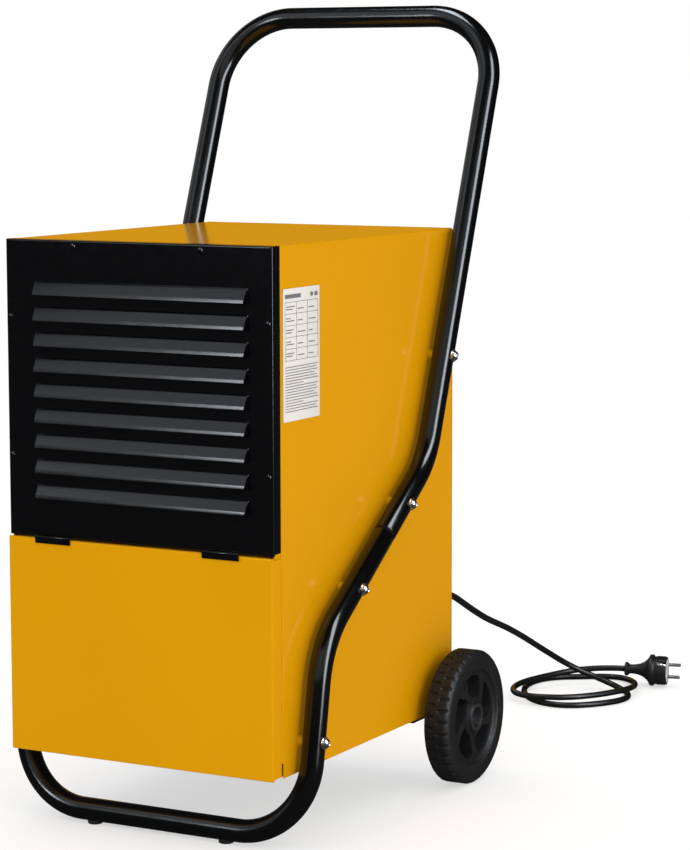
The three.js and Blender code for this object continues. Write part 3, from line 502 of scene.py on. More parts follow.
# grip ribs round the rear of the body
for k in range(20):
    a = 2 * math.pi * k / 20
    e = Vector((0, math.cos(a), math.sin(a)))
    t = Vector((0, -math.sin(a), math.cos(a)))
    bm = bmesh.new()
    pts = [(46.5, 19.9), (47.5, 20.75), (59.0, 20.75), (60.0, 19.9)]
    L, R = [], []
    for x, r in pts:
        L.append(bm.verts.new(Vector((x / 1000, 0, 0)) + e * (r / 1000) - t * 0.0011))
        R.append(bm.verts.new(Vector((x / 1000, 0, 0)) + e * (r / 1000) + t * 0.0011))
    for i in range(3):
        bm.faces.new([L[i], L[i + 1], R[i + 1], R[i]])
    bm.faces.new(L[::-1])
    bm.faces.new(R)
    bm.faces.new([L[0], R[0], R[3], L[3]])
    me = bpy.data.meshes.new("mp_rib")
    bm.to_mesh(me)
    bm.free()
    plug_parts.append(dress(link("mp_rib", me), PLASTIC, 30))
# earth clips on two sides
for s in (-1, 1):
    e = Vector((0, s, 0))
    bm = bmesh.new()
    w = 0.0032
    pts = [(48, 20.9), (60.5, 21.0), (62.3, 19.2), (62.3, 17.9)]
    L = [bm.verts.new(Vector((x / 1000, 0, -w)) + e * (r / 1000)) for x, r in pts]
    R = [bm.verts.new(Vector((x / 1000, 0, w)) + e * (r / 1000)) for x, r in pts]
    for i in range(3):
        bm.faces.new([L[i], L[i + 1], R[i + 1], R[i]])
    me = bpy.data.meshes.new("mp_clip")
    bm.to_mesh(me)
    bm.free()
    clip = dress(link("mp_clip", me), PIN, 30)
    sol = clip.modifiers.new("s", "SOLIDIFY")
    sol.thickness = 0.0006
    plug_parts.append(clip)
plug = tidy(join(plug_parts, "mains_plug"), fill=True)
plug.data.transform(Matrix.Translation(PLUG_TAIL) @ Matrix.Rotation(PLUG_TURN, 4, "Z") @ Matrix.Rotation(-PLUG_ROLL, 4, "X"))
put(plug, "cabinet", "black_plastic", "power_plug")

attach(lead, "cabinet")
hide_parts("power_cord", "cord_coil", "cord_tail")

# ============================================================ sheet-metal covers
W2 = 177.5
PAN = 1.2
LIP_Z = [626.5 - 29.5 * k for k in range(9)]
L_CX, L_HALF = 4.6, 141.7


def smooth(t):
    t = max(0.0, min(1.0, t))
    return t * t * (3 - 2 * t)


def pan_surface(name, xs, zs, face_y, depth, bend, mat, lift=None, split=None, thick=PAN, notch=None):
    """The outer skin of a shallow pan: a face on the grid xs by zs, bent back round its four sides.
    lift(x, z) is how far a point stands out; rows in split are cut, with the row below the cut left flat."""
    verts, faces = [], []

    def v(x, y, z):
        verts.append(V(x, y, z))
        return len(verts) - 1

    rows = []
    for z in zs:
        rows.append([v(x, face_y - (lift(x, z, True) if lift else 0), z) for x in xs])
    low = {}
    for j, z in enumerate(zs):
        if split and z in split:
            low[j] = [rows[j][i] if abs(lift(x, z, True)) < 1e-6 else v(x, face_y, z - 0.2) for i, x in enumerate(xs)]
    for j in range(len(zs) - 1):
        top = low.get(j + 1, rows[j + 1])
        bottom = rows[j]
        for i in range(len(xs) - 1):
            q = [bottom[i], bottom[i + 1], top[i + 1], top[i]]
            if len(set(q)) > 2:
                faces.append(q)
    # boundary loop, anticlockwise from the lower left
    loop = [(i, 0) for i in range(len(xs))] + [(len(xs) - 1, j) for j in range(1, len(zs))]
    loop += [(i, len(zs) - 1) for i in range(len(xs) - 2, -1, -1)] + [(0, j) for j in range(len(zs) - 2, 0, -1)]
    prev = [rows[j][i] for i, j in loop]
    steps = [(bend * math.sin(a), bend * (1 - math.cos(a)), 0.0) for a in (math.radians(90 * k / 5) for k in range(1, 6))]
    steps += [(bend, bend, t) for t in (0.35, 0.7, 1.0)]
    for out, base, t in steps:
        cur = []
        for i, j in loop:
            # near a notched corner the returns are cut short, to clear the wrap's tongue
            limit = None
            if notch and zs[j] - zs[0] < 0.5:
                limit = notch[0]
            elif notch and zs[-1] - zs[j] < 0.5:
                limit = notch[1]
            short = limit is not None and abs(xs[i]) > limit
            backw = base + ((notch[2] if short else depth) - bend) * t
            dx = -1 if i == 0 else (1 if i == len(xs) - 1 else 0)
            dz = -1 if j == 0 else (1 if j == len(zs) - 1 else 0)
            cur.append(v(xs[i] + dx * out, face_y + backw, zs[j] + dz * out))
        n = len(loop)
        for k in range(n):
            faces.append([prev[k], prev[(k + 1) % n], cur[(k + 1) % n], cur[k]])
        prev = cur
    o = make(name, verts, faces, mat, 30)
    bm = bmesh.new()
    bm.from_mesh(o.data)
    # the face looks towards -y
    if sum(f.normal.y * f.calc_area() for f in bm.faces) > 0:
        bmesh.ops.reverse_faces(bm, faces=bm.faces)
    bm.to_mesh(o.data)
    bm.free()
    s = o.modifiers.new("sheet", "SOLIDIFY")
    s.thickness = thick / 1000
    s.offset = -1
    s.use_even_offset = True
    apply(o)
    dress(o, mat, 32)
    return o


L_SECTION = [(0.0, 8.35), (0.4, 8.66), (0.9, 8.6), (2.2, 8.35), (4.0, 7.99), (4.5, 7.78), (5.0, 7.47), (7.0, 6.25), (9.5, 4.7),
             (12.3, 2.95), (14.2, 1.72), (15.2, 1.0), (15.9, 0.42), (16.5, 0.0)]


def louvre_lift(x, z, _):
    for lip in LIP_Z:
        h = z - lip
        if -1e-6 <= h <= 16.5 + 1e-6:
            for (h0, y0), (h1, y1) in zip(L_SECTION, L_SECTION[1:]):
                if h <= h1 + 1e-9:
                    out = y0 + (y1 - y0) * (h - h0) / (h1 - h0)
                    break
            inset = L_HALF - abs(x - L_CX)
            if inset <= 0:
                return 0.0
            end = 9.6 * min(1.0, inset / 1.5)
            k = 1.1                             # the corner between the slope and the end is round
            m = max(k - abs(out - end), 0.0) / k
            return max(0.0, min(out, end) - m * m * k * 0.25)
    return 0.0


B = 2.0
ends = (0, 0.25, 0.5, 0.75, 1.0, 1.25, 1.5, 2.0, 2.8, 4.2, 6, 12)
xs = [-W2 + B, -170.4, -169.6, -167, -152] + [L_CX - L_HALF + d for d in ends] + [-110, -80, -50, -20, 10, 40, 70, 100, 122]
xs += [L_CX + L_HALF - d for d in reversed(ends)] + [156, 167, 169.6, 170.4, W2 - B]
zs = [345.3 + B, 345.3 + B + 0.4, 345.3 + B + 0.8, 352, 365, 378]
for lip in reversed(LIP_Z):
    zs += [lip + h for h, _ in L_SECTION] + [lip + 22.5]
zs += [655, 668, 690 - B]
zs = sorted(set(z for z in zs if z < 690))
panel = pan_surface("louvred_front_panel", xs, zs, 0.0, 16.2, B, BLACK, louvre_lift, set(LIP_Z), notch=(170, None, 2.4))
bevel(panel, 0.28, 2, 50)
apply(panel)
put(panel, "cabinet", "black_paint", "louvre_panel")

dx = [-W2 + B, -172, -171, -168, -167] + [-160 + 20 * i for i in range(17)] + [167, 168, 171, 172, W2 - B]
dz = [90 + B, 90 + B + 0.4, 90 + B + 0.8] + [110 + 21 * i for i in range(11)] + [343.8 - B - 0.8, 343.8 - B - 0.4, 343.8 - B]
door = pan_surface("tank_bay_door", dx, dz, -3.5, 19.3, B, YELLOW, notch=(171.5, 167.5, 3.0))
bevel(door, 0.28, 2, 50)
apply(door)
put(door, "door", "yellow_paint", "front_door")

# Hinge leaves: rolled round the hinge line and lying on the door's face.
for name, c in (("left", -115), ("right", 111)):
    pts = []
    for a in range(-200, 91, 15):
        t = math.radians(a)
        pts.append((-4.4 + 1.5 * math.cos(t), 345.6 + 1.5 * math.sin(t)))
    outer = [(-5.0 - 0.0, 338.2), (-5.0, 344.2)]
    prof = [(-3.8, 338.2), (-5.0, 338.2), (-5.15, 338.6), (-5.6, 344.6)]
    for a in range(195, -91, -15):
        t = math.radians(a)
        prof.append((-4.4 + 1.5 * math.cos(t), 345.7 + 1.5 * math.sin(t)))
    prof.append((-3.8, 343.2))
    verts, faces = [], []
    xs_ = [c - 24, c - 23.6, c + 23.6, c + 24]
    sc = [0.86, 1.0, 1.0, 0.86]
    cy, cz = -4.4, 342.5
    for x, s in zip(xs_, sc):
        for y, z in prof:
            verts.append(V(x, cy + (y - cy) * s, z))
    n = len(prof)
    for k in range(3):
        for i in range(n):
            j = (i + 1) % n
            faces.append([k * n + i, k * n + j, (k + 1) * n + j, (k + 1) * n + i])
    faces.append(list(range(n))[::-1])
    faces.append(list(range(3 * n, 4 * n)))
    tab = make("hinge_leaf_" + name, verts, faces, BLACK, 30)
    put(tab, "door", "black_paint", "door_tab_" + name)


# ============================================================ cabinet shell
def u_profile(inset, bottom, r, n=8):
    """The outer line of the inverted U, from the lower left over the top to the lower right."""
    h, top = W2 - inset, 690 - inset
    r = max(0.6, r - inset)
    pts = [(-h, bottom + (top - r - bottom) * t) for t in (0, 0.12, 0.3, 0.5, 0.7, 0.88, 1.0)]
    for k in range(1, n + 1):
        a = math.radians(180 - 90 * k / n)
        pts.append((-h + r + r * math.cos(a), top - r + r * math.sin(a)))
    pts += [(-h + r + (2 * h - 2 * r) * t, top) for t in (0.15, 0.35, 0.5, 0.65, 0.85)]
    for k in range(0, n + 1):
        a = math.radians(90 - 90 * k / n)
        pts.append((h - r + r * math.cos(a), top - r + r * math.sin(a)))
    pts += [(h, bottom + (top - r - bottom) * t) for t in (0.88, 0.7, 0.5, 0.3, 0.12, 0)]
    return pts


stations = [(4.0, 1.6), (10, 1.6), (16.3, 1.6), (16.9, 1.55), (17.4, 0.55), (17.9, 0.12), (18.8, 0.0), (20.6, 0.0), (60, 0), (120, 0), (200, 0),
            (300, 0), (400, 0), (444.2, 0)]
SLOT_Z = 107.5
verts, faces = [], []
n = None
for y, inset in stations:
    p = u_profile(inset, 93 if y < 16.5 else 90, 5)  # the tongue starts above the door's lower return
    p = [p[0], (p[0][0], SLOT_Z)] + p[1:-1] + [(p[-1][0], SLOT_Z), p[-1]]
    n = len(p)
    verts += [V(x, y, z) for x, z in p]
for st in range(len(stations) - 1):
    for i in range(n - 1):
        if i in (0, n - 2) and 16.2 < stations[st][0] < 20.5:
            continue  # the small slot at the foot of each front seam
        a = st * n + i
        faces.append([a, a + 1, a + 1 + n, a + n])
shell = tidy(make("cabinet_shell", verts, faces, YELLOW, 30))
bm = bmesh.new()
bm.from_mesh(shell.data)
if sum(f.normal.z * f.calc_area() for f in bm.faces) < 0:
    bmesh.ops.reverse_faces(bm, faces=bm.faces)
bm.to_mesh(shell.data)
bm.free()
sol = shell.modifiers.new("sheet", "SOLIDIFY")
sol.thickness = 0.0015
sol.offset = -1
sol.use_even_offset = True
apply(shell)
dress(shell, YELLOW, 32)
bevel(shell, 0.22, 2, 55)
apply(shell)
put(shell, "cabinet", "yellow_paint", "shell_wrap")


def boolean(o, cut, operation="DIFFERENCE"):
    m = o.modifiers.new("b", "BOOLEAN")
    m.object = cut
    m.operation = operation
    m.solver = "EXACT"
    apply(o)
    bpy.data.objects.remove(cut)
    return o


# ============================================================ rear panel
outl = [rrect(-W2, W2, 90, 690, 3.5)]
for i in range(-6, 7):
    z = 520 + i * 17
    half = math.sqrt(max(0, 118 * 118 - (i * 17) ** 2)) - 6
    if half > 20:
        outl.append(rrect(-half, -5, z - 4.5, z + 4.5, 4.4, 5))
        outl.append(rrect(5, half, z - 4.5, z + 4.5, 4.4, 5))
outl.append(circle(150, 224, 8.5, 32))
rear = plate("rear_cover", outl, lambda u, v, w: V(u, 446.25 + w, v), 1.5, YELLOW, 0.3)
put(rear, "cabinet", "yellow_paint", "rear_panel")

# ============================================================ tube frame
KNEE, SKID, HIP, TOP, JOINT = (79.0, 236.4), (39.4, 16.3), (338.1, 413.1), (541.0, 951.2), (230.0, 339.4)
TX, TR = 195.0, 13.5
dgl = math.hypot(HIP[0] - KNEE[0], HIP[1] - KNEE[1])
dgy, dgz = (HIP[0] - KNEE[0]) / dgl, (HIP[1] - KNEE[1]) / dgl
lo = (JOINT[0] - dgy * 1.2, JOINT[1] - dgz * 1.2)
hi = (JOINT[0] + dgy * 1.2, JOINT[1] + dgz * 1.2)


def at(s, p):
    return (s * TX, p[0], p[1])


path = bent([at(-1, lo), at(-1, KNEE), at(-1, SKID), at(1, SKID), at(1, KNEE), at(1, lo)], [110, 88, 88, 110])
lower = tube("lower_tube", path, TR, TUBE, 48)
put(lower, "cabinet", "black_tube", "lower_frame")
path = bent([at(-1, hi), at(-1, HIP), at(-1, TOP), at(1, TOP), at(1, HIP), at(1, hi)], [105, 92, 92, 105])
upper = tube("handle_tube", path, TR, TUBE, 48)
put(upper, "cabinet", "black_tube", "handle_frame")
for name, s in (("left", -1), ("right", 1)):
    d = Vector((0, dgy, dgz))
    c = Vector((s * TX, JOINT[0], JOINT[1]))
    sl = tube("joint_spigot_" + name, [(c - d * 3.4, d), (c + d * 3.4, d)], TR - 1.1, DARK, 40, [(1.0, 0.0)])
    put(sl, "cabinet", "black_tube", "joint_sleeve_" + name)

# Bolts: a domed head with a round socket on a washer, a spacer between the tube and the shell.
BOLTS = [(386, 538), (275.6, 370.5), (153.6, 287.3), (59.2, 126.1)]
for name, s in (("left", -1), ("right", 1)):
    ax = Vector((s, 0, 0))
    basis = (ax, Vector((0, 1, 0)), ax.cross(Vector((0, 1, 0))))
    for k, (y, z) in enumerate(BOLTS):
        o = Vector((s * TX / 1000, (y + SHIFT) / 1000, z / 1000))
        h0 = TR
        head = [(0, h0 + 3.2), (2.5, h0 + 3.2), (2.55, h0 + 5.4), (2.95, h0 + 5.85), (4.0, h0 + 5.35), (5.2, h0 + 4.2), (6.0, h0 + 2.9),
                (6.3, h0 + 1.9), (6.3, h0 + 1.3), (4.2, h0 + 1.2)]
        head += [(4.0, h0 + 0.8), (4.0, -TR - 4.0), (0, -TR - 4.0)]
        b1 = lathe("frame_bolt_%s_%d" % (name, k + 1), head, o, "x", STEEL, 36, 30, basis=basis)
        washer = lathe("w", [(4.2, h0 - 0.55), (7.4, h0 - 0.4), (7.6, h0 - 0.1), (7.6, h0 + 0.9), (7.4, h0 + 1.15), (4.2, h0 + 1.15)], o, "x", STEEL, 40, 30, closed=True, basis=basis)
        spacer = lathe("sp", [(4.2, -TR + 0.7), (5.4, -TR + 0.7), (5.9, -TR - 0.2), (7.2, -TR - 3.4), (7.4, -TR - 3.7), (4.2, -TR - 3.7)], o, "x", YELLOW, 36, 30, closed=True, basis=basis)
        j = join([b1, washer, spacer], "frame_bolt_%s_%d" % (name, k + 1))
        put(j, "cabinet", "bright_steel", "frame_bolt_%s_%d" % (name, k + 1))
    foot = lathe("skid_pad_" + name, [(0, 0.02), (7.6, 0.02), (8.6, 0.5), (9.0, 1.4), (8.8, 3.6), (7.4, 5.2), (5.2, 5.6), (0, 5.6)],
                 V(s * 90, SKID[0], 0), "z", RUBBER, 36, 30)
    put(foot, "cabinet", "rubber", "skid_foot_" + name)

# ============================================================ wheels
WY, WZ, WR = 422.3, 83.5, 83.5


def wheel(name, s):
    """One moulding: tread with staggered lugs, side walls, a dished web with five windows between swept spokes, and a hub."""
    N = 360
    LUGS = 36
    per = N // 5
    # profile as (x from the outer face plane inwards, radius, kind); x grows towards the cabinet
    X0, X1 = 225.5, 190.0
    prof = []
    add = lambda x, r, k="": prof.append((x, r, k))
    add(X1 + 3, 6.6); add(X1 + 3, 12); add(X1 + 3, 17.2); add(X1 + 4, 18)
    add(X1 + 9, 18.6); add(X1 + 10, 20, "wi")
    for r in (24.5, 26, 31, 36, 41, 46, 51, 52.5):
        add(X1 + 10, r, "w")
    add(X1 + 10, 55.5, "wi"); add(X1 + 8.5, 57.2)
    add(X1 + 2.2, 60.0); add(X1 + 1.0, 61.2); add(X1 + 0.6, 64); add(X1 + 0.2, 70); add(X1 + 0.2, 75.5); add(X1 + 0.8, 78.2)
    add(X1 + 2.2, 80.6, "s1"); add(X1 + 3.6, 82.4, "s2")
    t0, t1 = X1 + 5.2, X0 - 6.0
    T = 22
    for i in range(T + 1):
        add(t0 + (t1 - t0) * i / T, WR, "t%d" % i)
    add(X0 - 4.4, 82.6, "s2"); add(X0 - 2.8, 81.2, "s1"); add(X0 - 1.4, 79.3); add(X0 - 0.5, 77.0); add(X0 - 0.15, 74)
    add(X0, 70); add(X0, 64.5); add(X0 - 0.4, 61.6); add(X0 - 1.4, 60.1); add(X0 - 3.2, 59.0); add(X0 - 5.4, 57.6)
    add(X0 - 6.2, 55.5, "wo")
    for r in (52.5, 51, 46, 41, 36, 31, 26, 24.5):
        add(X0 - 6.2 + (55.5 - r) * 0.055, r, "w")
    add(X0 - 4.4, 20, "wo"); add(X0 - 3.6, 18.6); add(X0 - 0.8, 17.6); add(X0 - 0.1, 16.9); add(X0 - 0.1, 13.2)
    add(X0 - 0.8, 12.6); add(X0 - 13, 12.4); add(X0 - 13.8, 11.9); add(X0 - 13.8, 6.6)
    M = len(prof)
    front_first = next(i for i, p in enumerate(prof) if p[2] == "wo")
    back_idx = [i for i, p in enumerate(prof) if p[2] == "w" and i < front_first]
    front_idx = [i for i, p in enumerate(prof) if p[2] == "w" and i > front_first]

    def twist(r):
        if r >= 58:
            return 0.0
        t = (58 - max(r, 18)) / 40
        return -0.42 * t * t - 0.10 * t

    # a window covers these steps of its fifth
    W0, W1 = 8, 64

    def tread(x, theta, k):
        c = (x - 207.5) / 13.0
        ph = theta / (2 * math.pi) * LUGS
        # two rows of blocks, half a pitch apart, that meet in the middle
        row = 0 if c < 0 else 1
        u = (ph + 0.5 * row + 0.10 * abs(c)) % 1.0
        groove = 0.17
        d = min(u, 1 - u)
        g = 1 - smooth((d - groove * 0.45) / (groove * 0.55))
        if abs(c) < 0.10:
            g *= 0.0
        else:
            g *= smooth((abs(c) - 0.10) / 0.10)
        return 2.1 * g

    verts, idx = [], {}
    sgn = s
    for i in range(N):
        th = 2 * math.pi * i / N - 0.157
        fi = i % per
        for j, (x, r, k) in enumerate(prof):
            rr, tt, xx = r, th + twist(r), x
            if k.startswith("t"):
                rr = r - tread(x, th, k)
            elif k in ("s1", "s2"):
                c = -1 if x < 207.5 else 1
                ph = th / (2 * math.pi) * LUGS
                u = (ph + (0.5 if c > 0 else 0) + 0.10) % 1.0
                d = min(u, 1 - u)
                g = 1 - smooth((d - 0.0765) / 0.0935)
                rr = r - (1.7 if k == "s2" else 0.8) * g
            elif k == "w" and W0 - 1 <= fi <= W1 + 1:
                # round the corners of each window
                a = (fi - (W0 + W1) / 2) / ((W1 - W0) / 2)
                rm, rh = (24.5 + 52.5) / 2, (52.5 - 24.5) / 2
                b = (r - rm) / rh
                if max(abs(a), abs(b)) > 0.999 and abs(a) <= 1.0001 and abs(b) <= 1.0001:
                    pw = 5.0
                    nrm = (abs(a) ** pw + abs(b) ** pw) ** (1 / pw)
                    a2, b2 = a / nrm, b / nrm
                    rr = rm + b2 * rh
                    f2 = (W0 + W1) / 2 + a2 * (W1 - W0) / 2
                    tt = th + (f2 - fi) * 2 * math.pi / N + twist(rr)
            yy = rr * math.cos(tt)
            zz = rr * math.sin(tt)
            idx[(i, j)] = len(verts)
            verts.append(V(sgn * xx, WY + yy, WZ + zz))
    faces = []
    bj = sorted(back_idx)
    fj = sorted(front_idx)

    def inside(i, j):
        fi = i % per
        if not (W0 <= fi < W1):
            return False
        return fj[0] <= j < fj[-1]

    for i in range(N):
        i2 = (i + 1) % N
        for j in range(M):
            j2 = (j + 1) % M
            if inside(i, j):
                continue
            faces.append([idx[(i, j)], idx[(i2, j)], idx[(i2, j2)], idx[(i, j2)]])
    # the five pockets: walls that draw in slightly towards a flat floor
    for w in range(5):
        a0, a1 = w * per + W0, w * per + W1
        loop = [(i, 0) for i in range(a0, a1 + 1)] + [(a1, q) for q in range(1, len(fj))]
        loop += [(i, len(fj) - 1) for i in range(a1 - 1, a0 - 1, -1)] + [(a0, q) for q in range(len(fj) - 2, 0, -1)]
        fronts = [idx[(i % N, fj[q])] for i, q in loop]
        mid = sum((verts[p] for p in fronts), Vector()) / len(fronts)
        rings = [fronts]
        for depth, draw in ((1.0, 0.995), (8.0, 0.985), (14.0, 0.975), (15.6, 0.965), (16.4, 0.93)):
            ring = []
            for p in fronts:
                q = verts[p].copy()
                q.y = mid.y + (q.y - mid.y) * draw
                q.z = mid.z + (q.z - mid.z) * draw
                q.x = V(sgn * (X0 - 6.4 - depth), 0, 0).x
                ring.append(len(verts))
                verts.append(q)
            rings.append(ring)
        n = len(loop)
        for r0, r1 in zip(rings, rings[1:]):
            for k in range(n):
                k2 = (k + 1) % n
                faces.append([r0[k], r0[k2], r1[k2], r1[k]])
        # the floor, as rings that shrink to a point
        prev = rings[-1]
        for f in (0.7, 0.4, 0.15):
            ring = []
            for p in rings[-1]:
                q = verts[p].copy()
                q.y = mid.y + (q.y - mid.y) * f
                q.z = mid.z + (q.z - mid.z) * f
                ring.append(len(verts))
                verts.append(q)
            for k in range(n):
                k2 = (k + 1) % n
                faces.append([prev[k], prev[k2], ring[k2], ring[k]])
            prev = ring
        c = len(verts)
        verts.append(Vector((verts[prev[0]].x, mid.y, mid.z)))
        for k in range(n):
            faces.append([prev[k], prev[(k + 1) % n], c])
    o = make(name, verts, faces, WHEEL, 38)
    return o


for name, s in (("left", -1), ("right", 1)):
    w = tidy(wheel("road_wheel_" + name, s))
    bevel(w, 0.5, 2, 60, weighted=False)
    apply(w)
    w.data.set_sharp_from_angle(angle=math.radians(40))
    put(w, "wheel_l" if s < 0 else "wheel_r", "wheel_plastic", "wheel_" + name)
    ax = Vector((s, 0, 0))
    basis = (ax, Vector((0, 1, 0)), ax.cross(Vector((0, 1, 0))))
    o = V(0, WY, WZ)
    x1 = 225.5
    ret = lathe("push_on_retainer_" + name, [(6.3, x1 - 13.3), (10.4, x1 - 13.3), (10.8, x1 - 12.9), (10.6, x1 - 12.2), (8.6, x1 - 11.2), (6.3, x1 - 10.8)],
                o, "x", STEEL, 36, 30, closed=True, basis=basis)
    put(ret, "cabinet", "bright_steel", "axle_retainer_" + name)

axle = lathe("axle_rod", [(0, -217), (4.8, -217), (6.0, -215.6), (6.0, 215.6), (4.8, 217), (0, 217)], V(0, WY, WZ), "x", STEEL, 40, 30)
put(axle, "cabinet", "bright_steel", "axle")
for name, s in (("left", -1), ("right", 1)):
    a, b = sorted((s * 120, s * 145))
    br = plate("axle_bracket_plate_" + name,
               [rrect(WY - 20, WY + 18, 70, 90.6, 4), circle(WY, WZ, 6.4, 32)],
               lambda u, v, w, a=a, b=b: V((a + b) / 2 + w, u, v), 25, BLACK, 0.8)
    put(br, "cabinet", "black_paint", "axle_bracket_" + name)

# ============================================================ small screws in the covers
def screw(o, direction, r=3.6, h=1.5, mat=BLACK, seg=28):
    """A pan-head screw with a cross recess."""
    a = Vector(direction).normalized()
    ref = Vector((0, 0, 1)) if abs(a.z) < 0.9 else Vector((0, 1, 0))
    u = (ref - a * ref.dot(a)).normalized()
    basis = (a, u, a.cross(u))
    head = lathe("sc", [(0, -2.0), (r * 0.5, -2.0), (r * 0.5, -0.3), (r, -0.3), (r, h * 0.35), (r * 0.92, h * 0.68), (r * 0.72, h * 0.92), (r * 0.45, h), (0, h)],
                 o, "x", mat, seg, 30, basis=basis)
    for k in range(2):
        d = basis[1] if k == 0 else basis[2]
        e = basis[2] if k == 0 else basis[1]
        c = o + a * ((h - 0.15) / 1000)
        bm = bmesh.new()
        vs = [bm.verts.new(c + d * (sx * r * 0.55 / 1000) + e * (sy * r * 0.11 / 1000) + a * (sz * 0.45 / 1000)) for sx in (-1, 1) for sy in (-1, 1) for sz in (-1, 1)]
        for f in ((0, 1, 3, 2), (4, 6, 7, 5), (0, 4, 5, 1), (2, 3, 7, 6), (0, 2, 6, 4), (1, 5, 7, 3)):
            bm.faces.new([vs[i] for i in f])
        bmesh.ops.recalc_face_normals(bm, faces=bm.faces)
        me = bpy.data.meshes.new("cut")
        bm.to_mesh(me)
        bm.free()
        boolean(head, link("cut", me))
    return dress(head, mat, 30)


front = []
for x, z in ((-85, 683), (85, 683), (171.5, 604), (171.5, 434), (-172.5, 600), (-172.5, 439)):
    front.append(screw(V(x, 0, z), (0, -1, 0)))
put(join(front, "front_panel_screws"), "cabinet", "black_paint")
rears = []
for x, z in [(s * 169, z) for s in (-1, 1) for z in (104, 250, 390, 530, 676)] + [(-60, 680), (60, 680)]:
    rears.append(screw(V(x, 447, z), (0, 1, 0), 3.8, 1.6, STEEL))
put(join(rears, "rear_cover_screws"), "cabinet", "bright_steel")

# ============================================================ label: blank film with ruled fields
lab = plate("blank_label", [rrect(22.4, 105.2, 493, 641.5, 2.0)], lambda u, v, w: V(177.98 + w, u, v), 0.32, LABEL, 0.08)
put(lab, "cabinet", "label_white", "rating_label")
# Printed rules and plain grey blocks, as thin raised bars: no lettering.
INK = material("label_ink", (0.16, 0.16, 0.17), 0.5, spec=0.3, vary=0.05, vary_scale=60, rough_vary=0.05, rough_scale=200, bump=0.02, bump_scale=600)
marks = []


def mark(u0, u1, w0, w1):
    marks.append(boxmesh("mark", 178.25, 178.37, u0, u1, w0, w1, INK, 0))


mark(26.5, 62.0, 630.5, 635.0)
mark(84.0, 90.0, 630.5, 635.0)
mark(93.5, 100.5, 630.5, 635.0)
for w in (626.0, 613.0, 600.0, 587.0, 574.0, 561.0):
    mark(26.5, 101.5, w, w + 0.45)
for u in (26.5, 52.0, 77.0, 101.05):
    mark(u, u + 0.45, 561.0, 626.0)
for k, w in enumerate((617.8, 604.8, 591.8, 578.8, 565.8)):
    mark(29.0, 29.0 + (15, 18, 12, 17, 14)[k], w, w + 1.1)
    mark(29.0, 29.0 + (19, 10, 16, 11, 18)[k], w + 3.0, w + 4.0)
    mark(55.0, 55.0 + (14, 11, 17, 12, 15)[k], w, w + 1.1)
    mark(80.0, 80.0 + (13, 16, 9, 14, 11)[k], w, w + 1.1)
for k in range(17):
    mark(26.5, 26.5 + (74, 70, 73, 66, 72, 75, 41)[k % 7], 553.5 - 3.1 * k, 554.3 - 3.1 * k)
put(join(marks, "label_rules"), "cabinet", "label_white")

# ============================================================ rear controls
panel_out = [rrect(-125, 60, 236, 336, 6, 6)]
cp = plate("control_plate", panel_out, lambda u, v, w: V(u, 448.55 + w, v), 2.3, PLASTIC, 0.6)
put(cp, "cabinet", "black_plastic", "control_panel")
y = 447 + 3.0
kp = [(0, y - 0.1), (16.4, y - 0.1), (17.0, y + 0.4), (17.0, y + 2.4), (16.4, y + 3.1), (14.6, y + 3.6)]
kn = lathe("control_knob", [(r, h - 447) for r, h in kp + [(14.2, y + 4.2), (13.6, y + 13.6), (13.0, y + 14.6), (12.0, y + 15.0), (0, y + 15.0)]],
           V(-85, 447, 286), "y", PLASTIC, 60, 30)
flutes = []
for k in range(18):
    t = 2 * math.pi * k / 18
    o = V(-85 + 14.4 * math.cos(t), 447, 286 + 14.4 * math.sin(t))
    flutes.append(lathe("fl", [(0, 7.5), (0.95, 7.5), (0.95, 16.6), (0, 16.6)], o, "y", PLASTIC, 8, 30))
ptr = boxmesh("ptr", -86.1, -83.9, 464.4, 465.9, 285, 298, PALE, 0.3)
knob = join([kn] + flutes + [ptr], "control_knob")
put(knob, "knob", "black_plastic", "humidistat_knob")
# raised marks of the dial
marks = []
for k in range(11):
    t = math.radians(90 + 135 - 27 * k)
    c = Vector((-85 + 24 * math.cos(t), 0, 286 + 24 * math.sin(t)))
    big = k in (0, 5, 10)
    marks.append(boxmesh("mk", -0.5, 0.5, 449.5, 450.1, -2.6 if big else -1.4, 2.6 if big else 1.4, PALE, 0.12, 1))
    m = marks[-1]
    m.data.transform(Matrix.Translation(Vector((c.x / 1000, 0, c.z / 1000))) @ Matrix.Rotation(math.pi / 2 - t, 4, "Y"))
put(join(marks, "dial_marks"), "cabinet", "label_white")
bz = plate("switch_frame", [rrect(-40, -10, 275, 297, 2.2), rrect(-37.1, -12.9, 277.9, 294.1, 1.2)], lambda u, v, w: V(u, 451.9 + w, v), 4.6, PLASTIC, 0.6)
put(bz, "cabinet", "black_plastic", "switch_bezel")
verts, faces = [], []
prof = [(-11.4, 0), (11.4, 0), (11.4, 5.0), (11.0, 5.5), (10.0, 5.45), (5, 4.3), (0, 3.75), (-5, 3.85), (-10, 4.15), (-11.0, 4.2), (-11.4, 3.8)]
for z in (278.5, 279.1, 292.9, 293.5):
    k = 0.93 if z in (278.5, 293.5) else 1.0
    for x, h in prof:
        verts.append(V(-25 + x * (0.985 if k < 1 else 1), 451.2 + h * k, z))
n = len(prof)
for q in range(3):
    for i in range(n):
        j = (i + 1) % n
        faces.append([q * n + i, q * n + j, (q + 1) * n + j, (q + 1) * n + i])
faces.append(list(range(n))[::-1])
faces.append(list(range(3 * n, 4 * n)))
rk = make("power_rocker_cap", verts, faces, LAMP, 35)
put(rk, "rocker", "signal_red", "power_rocker")
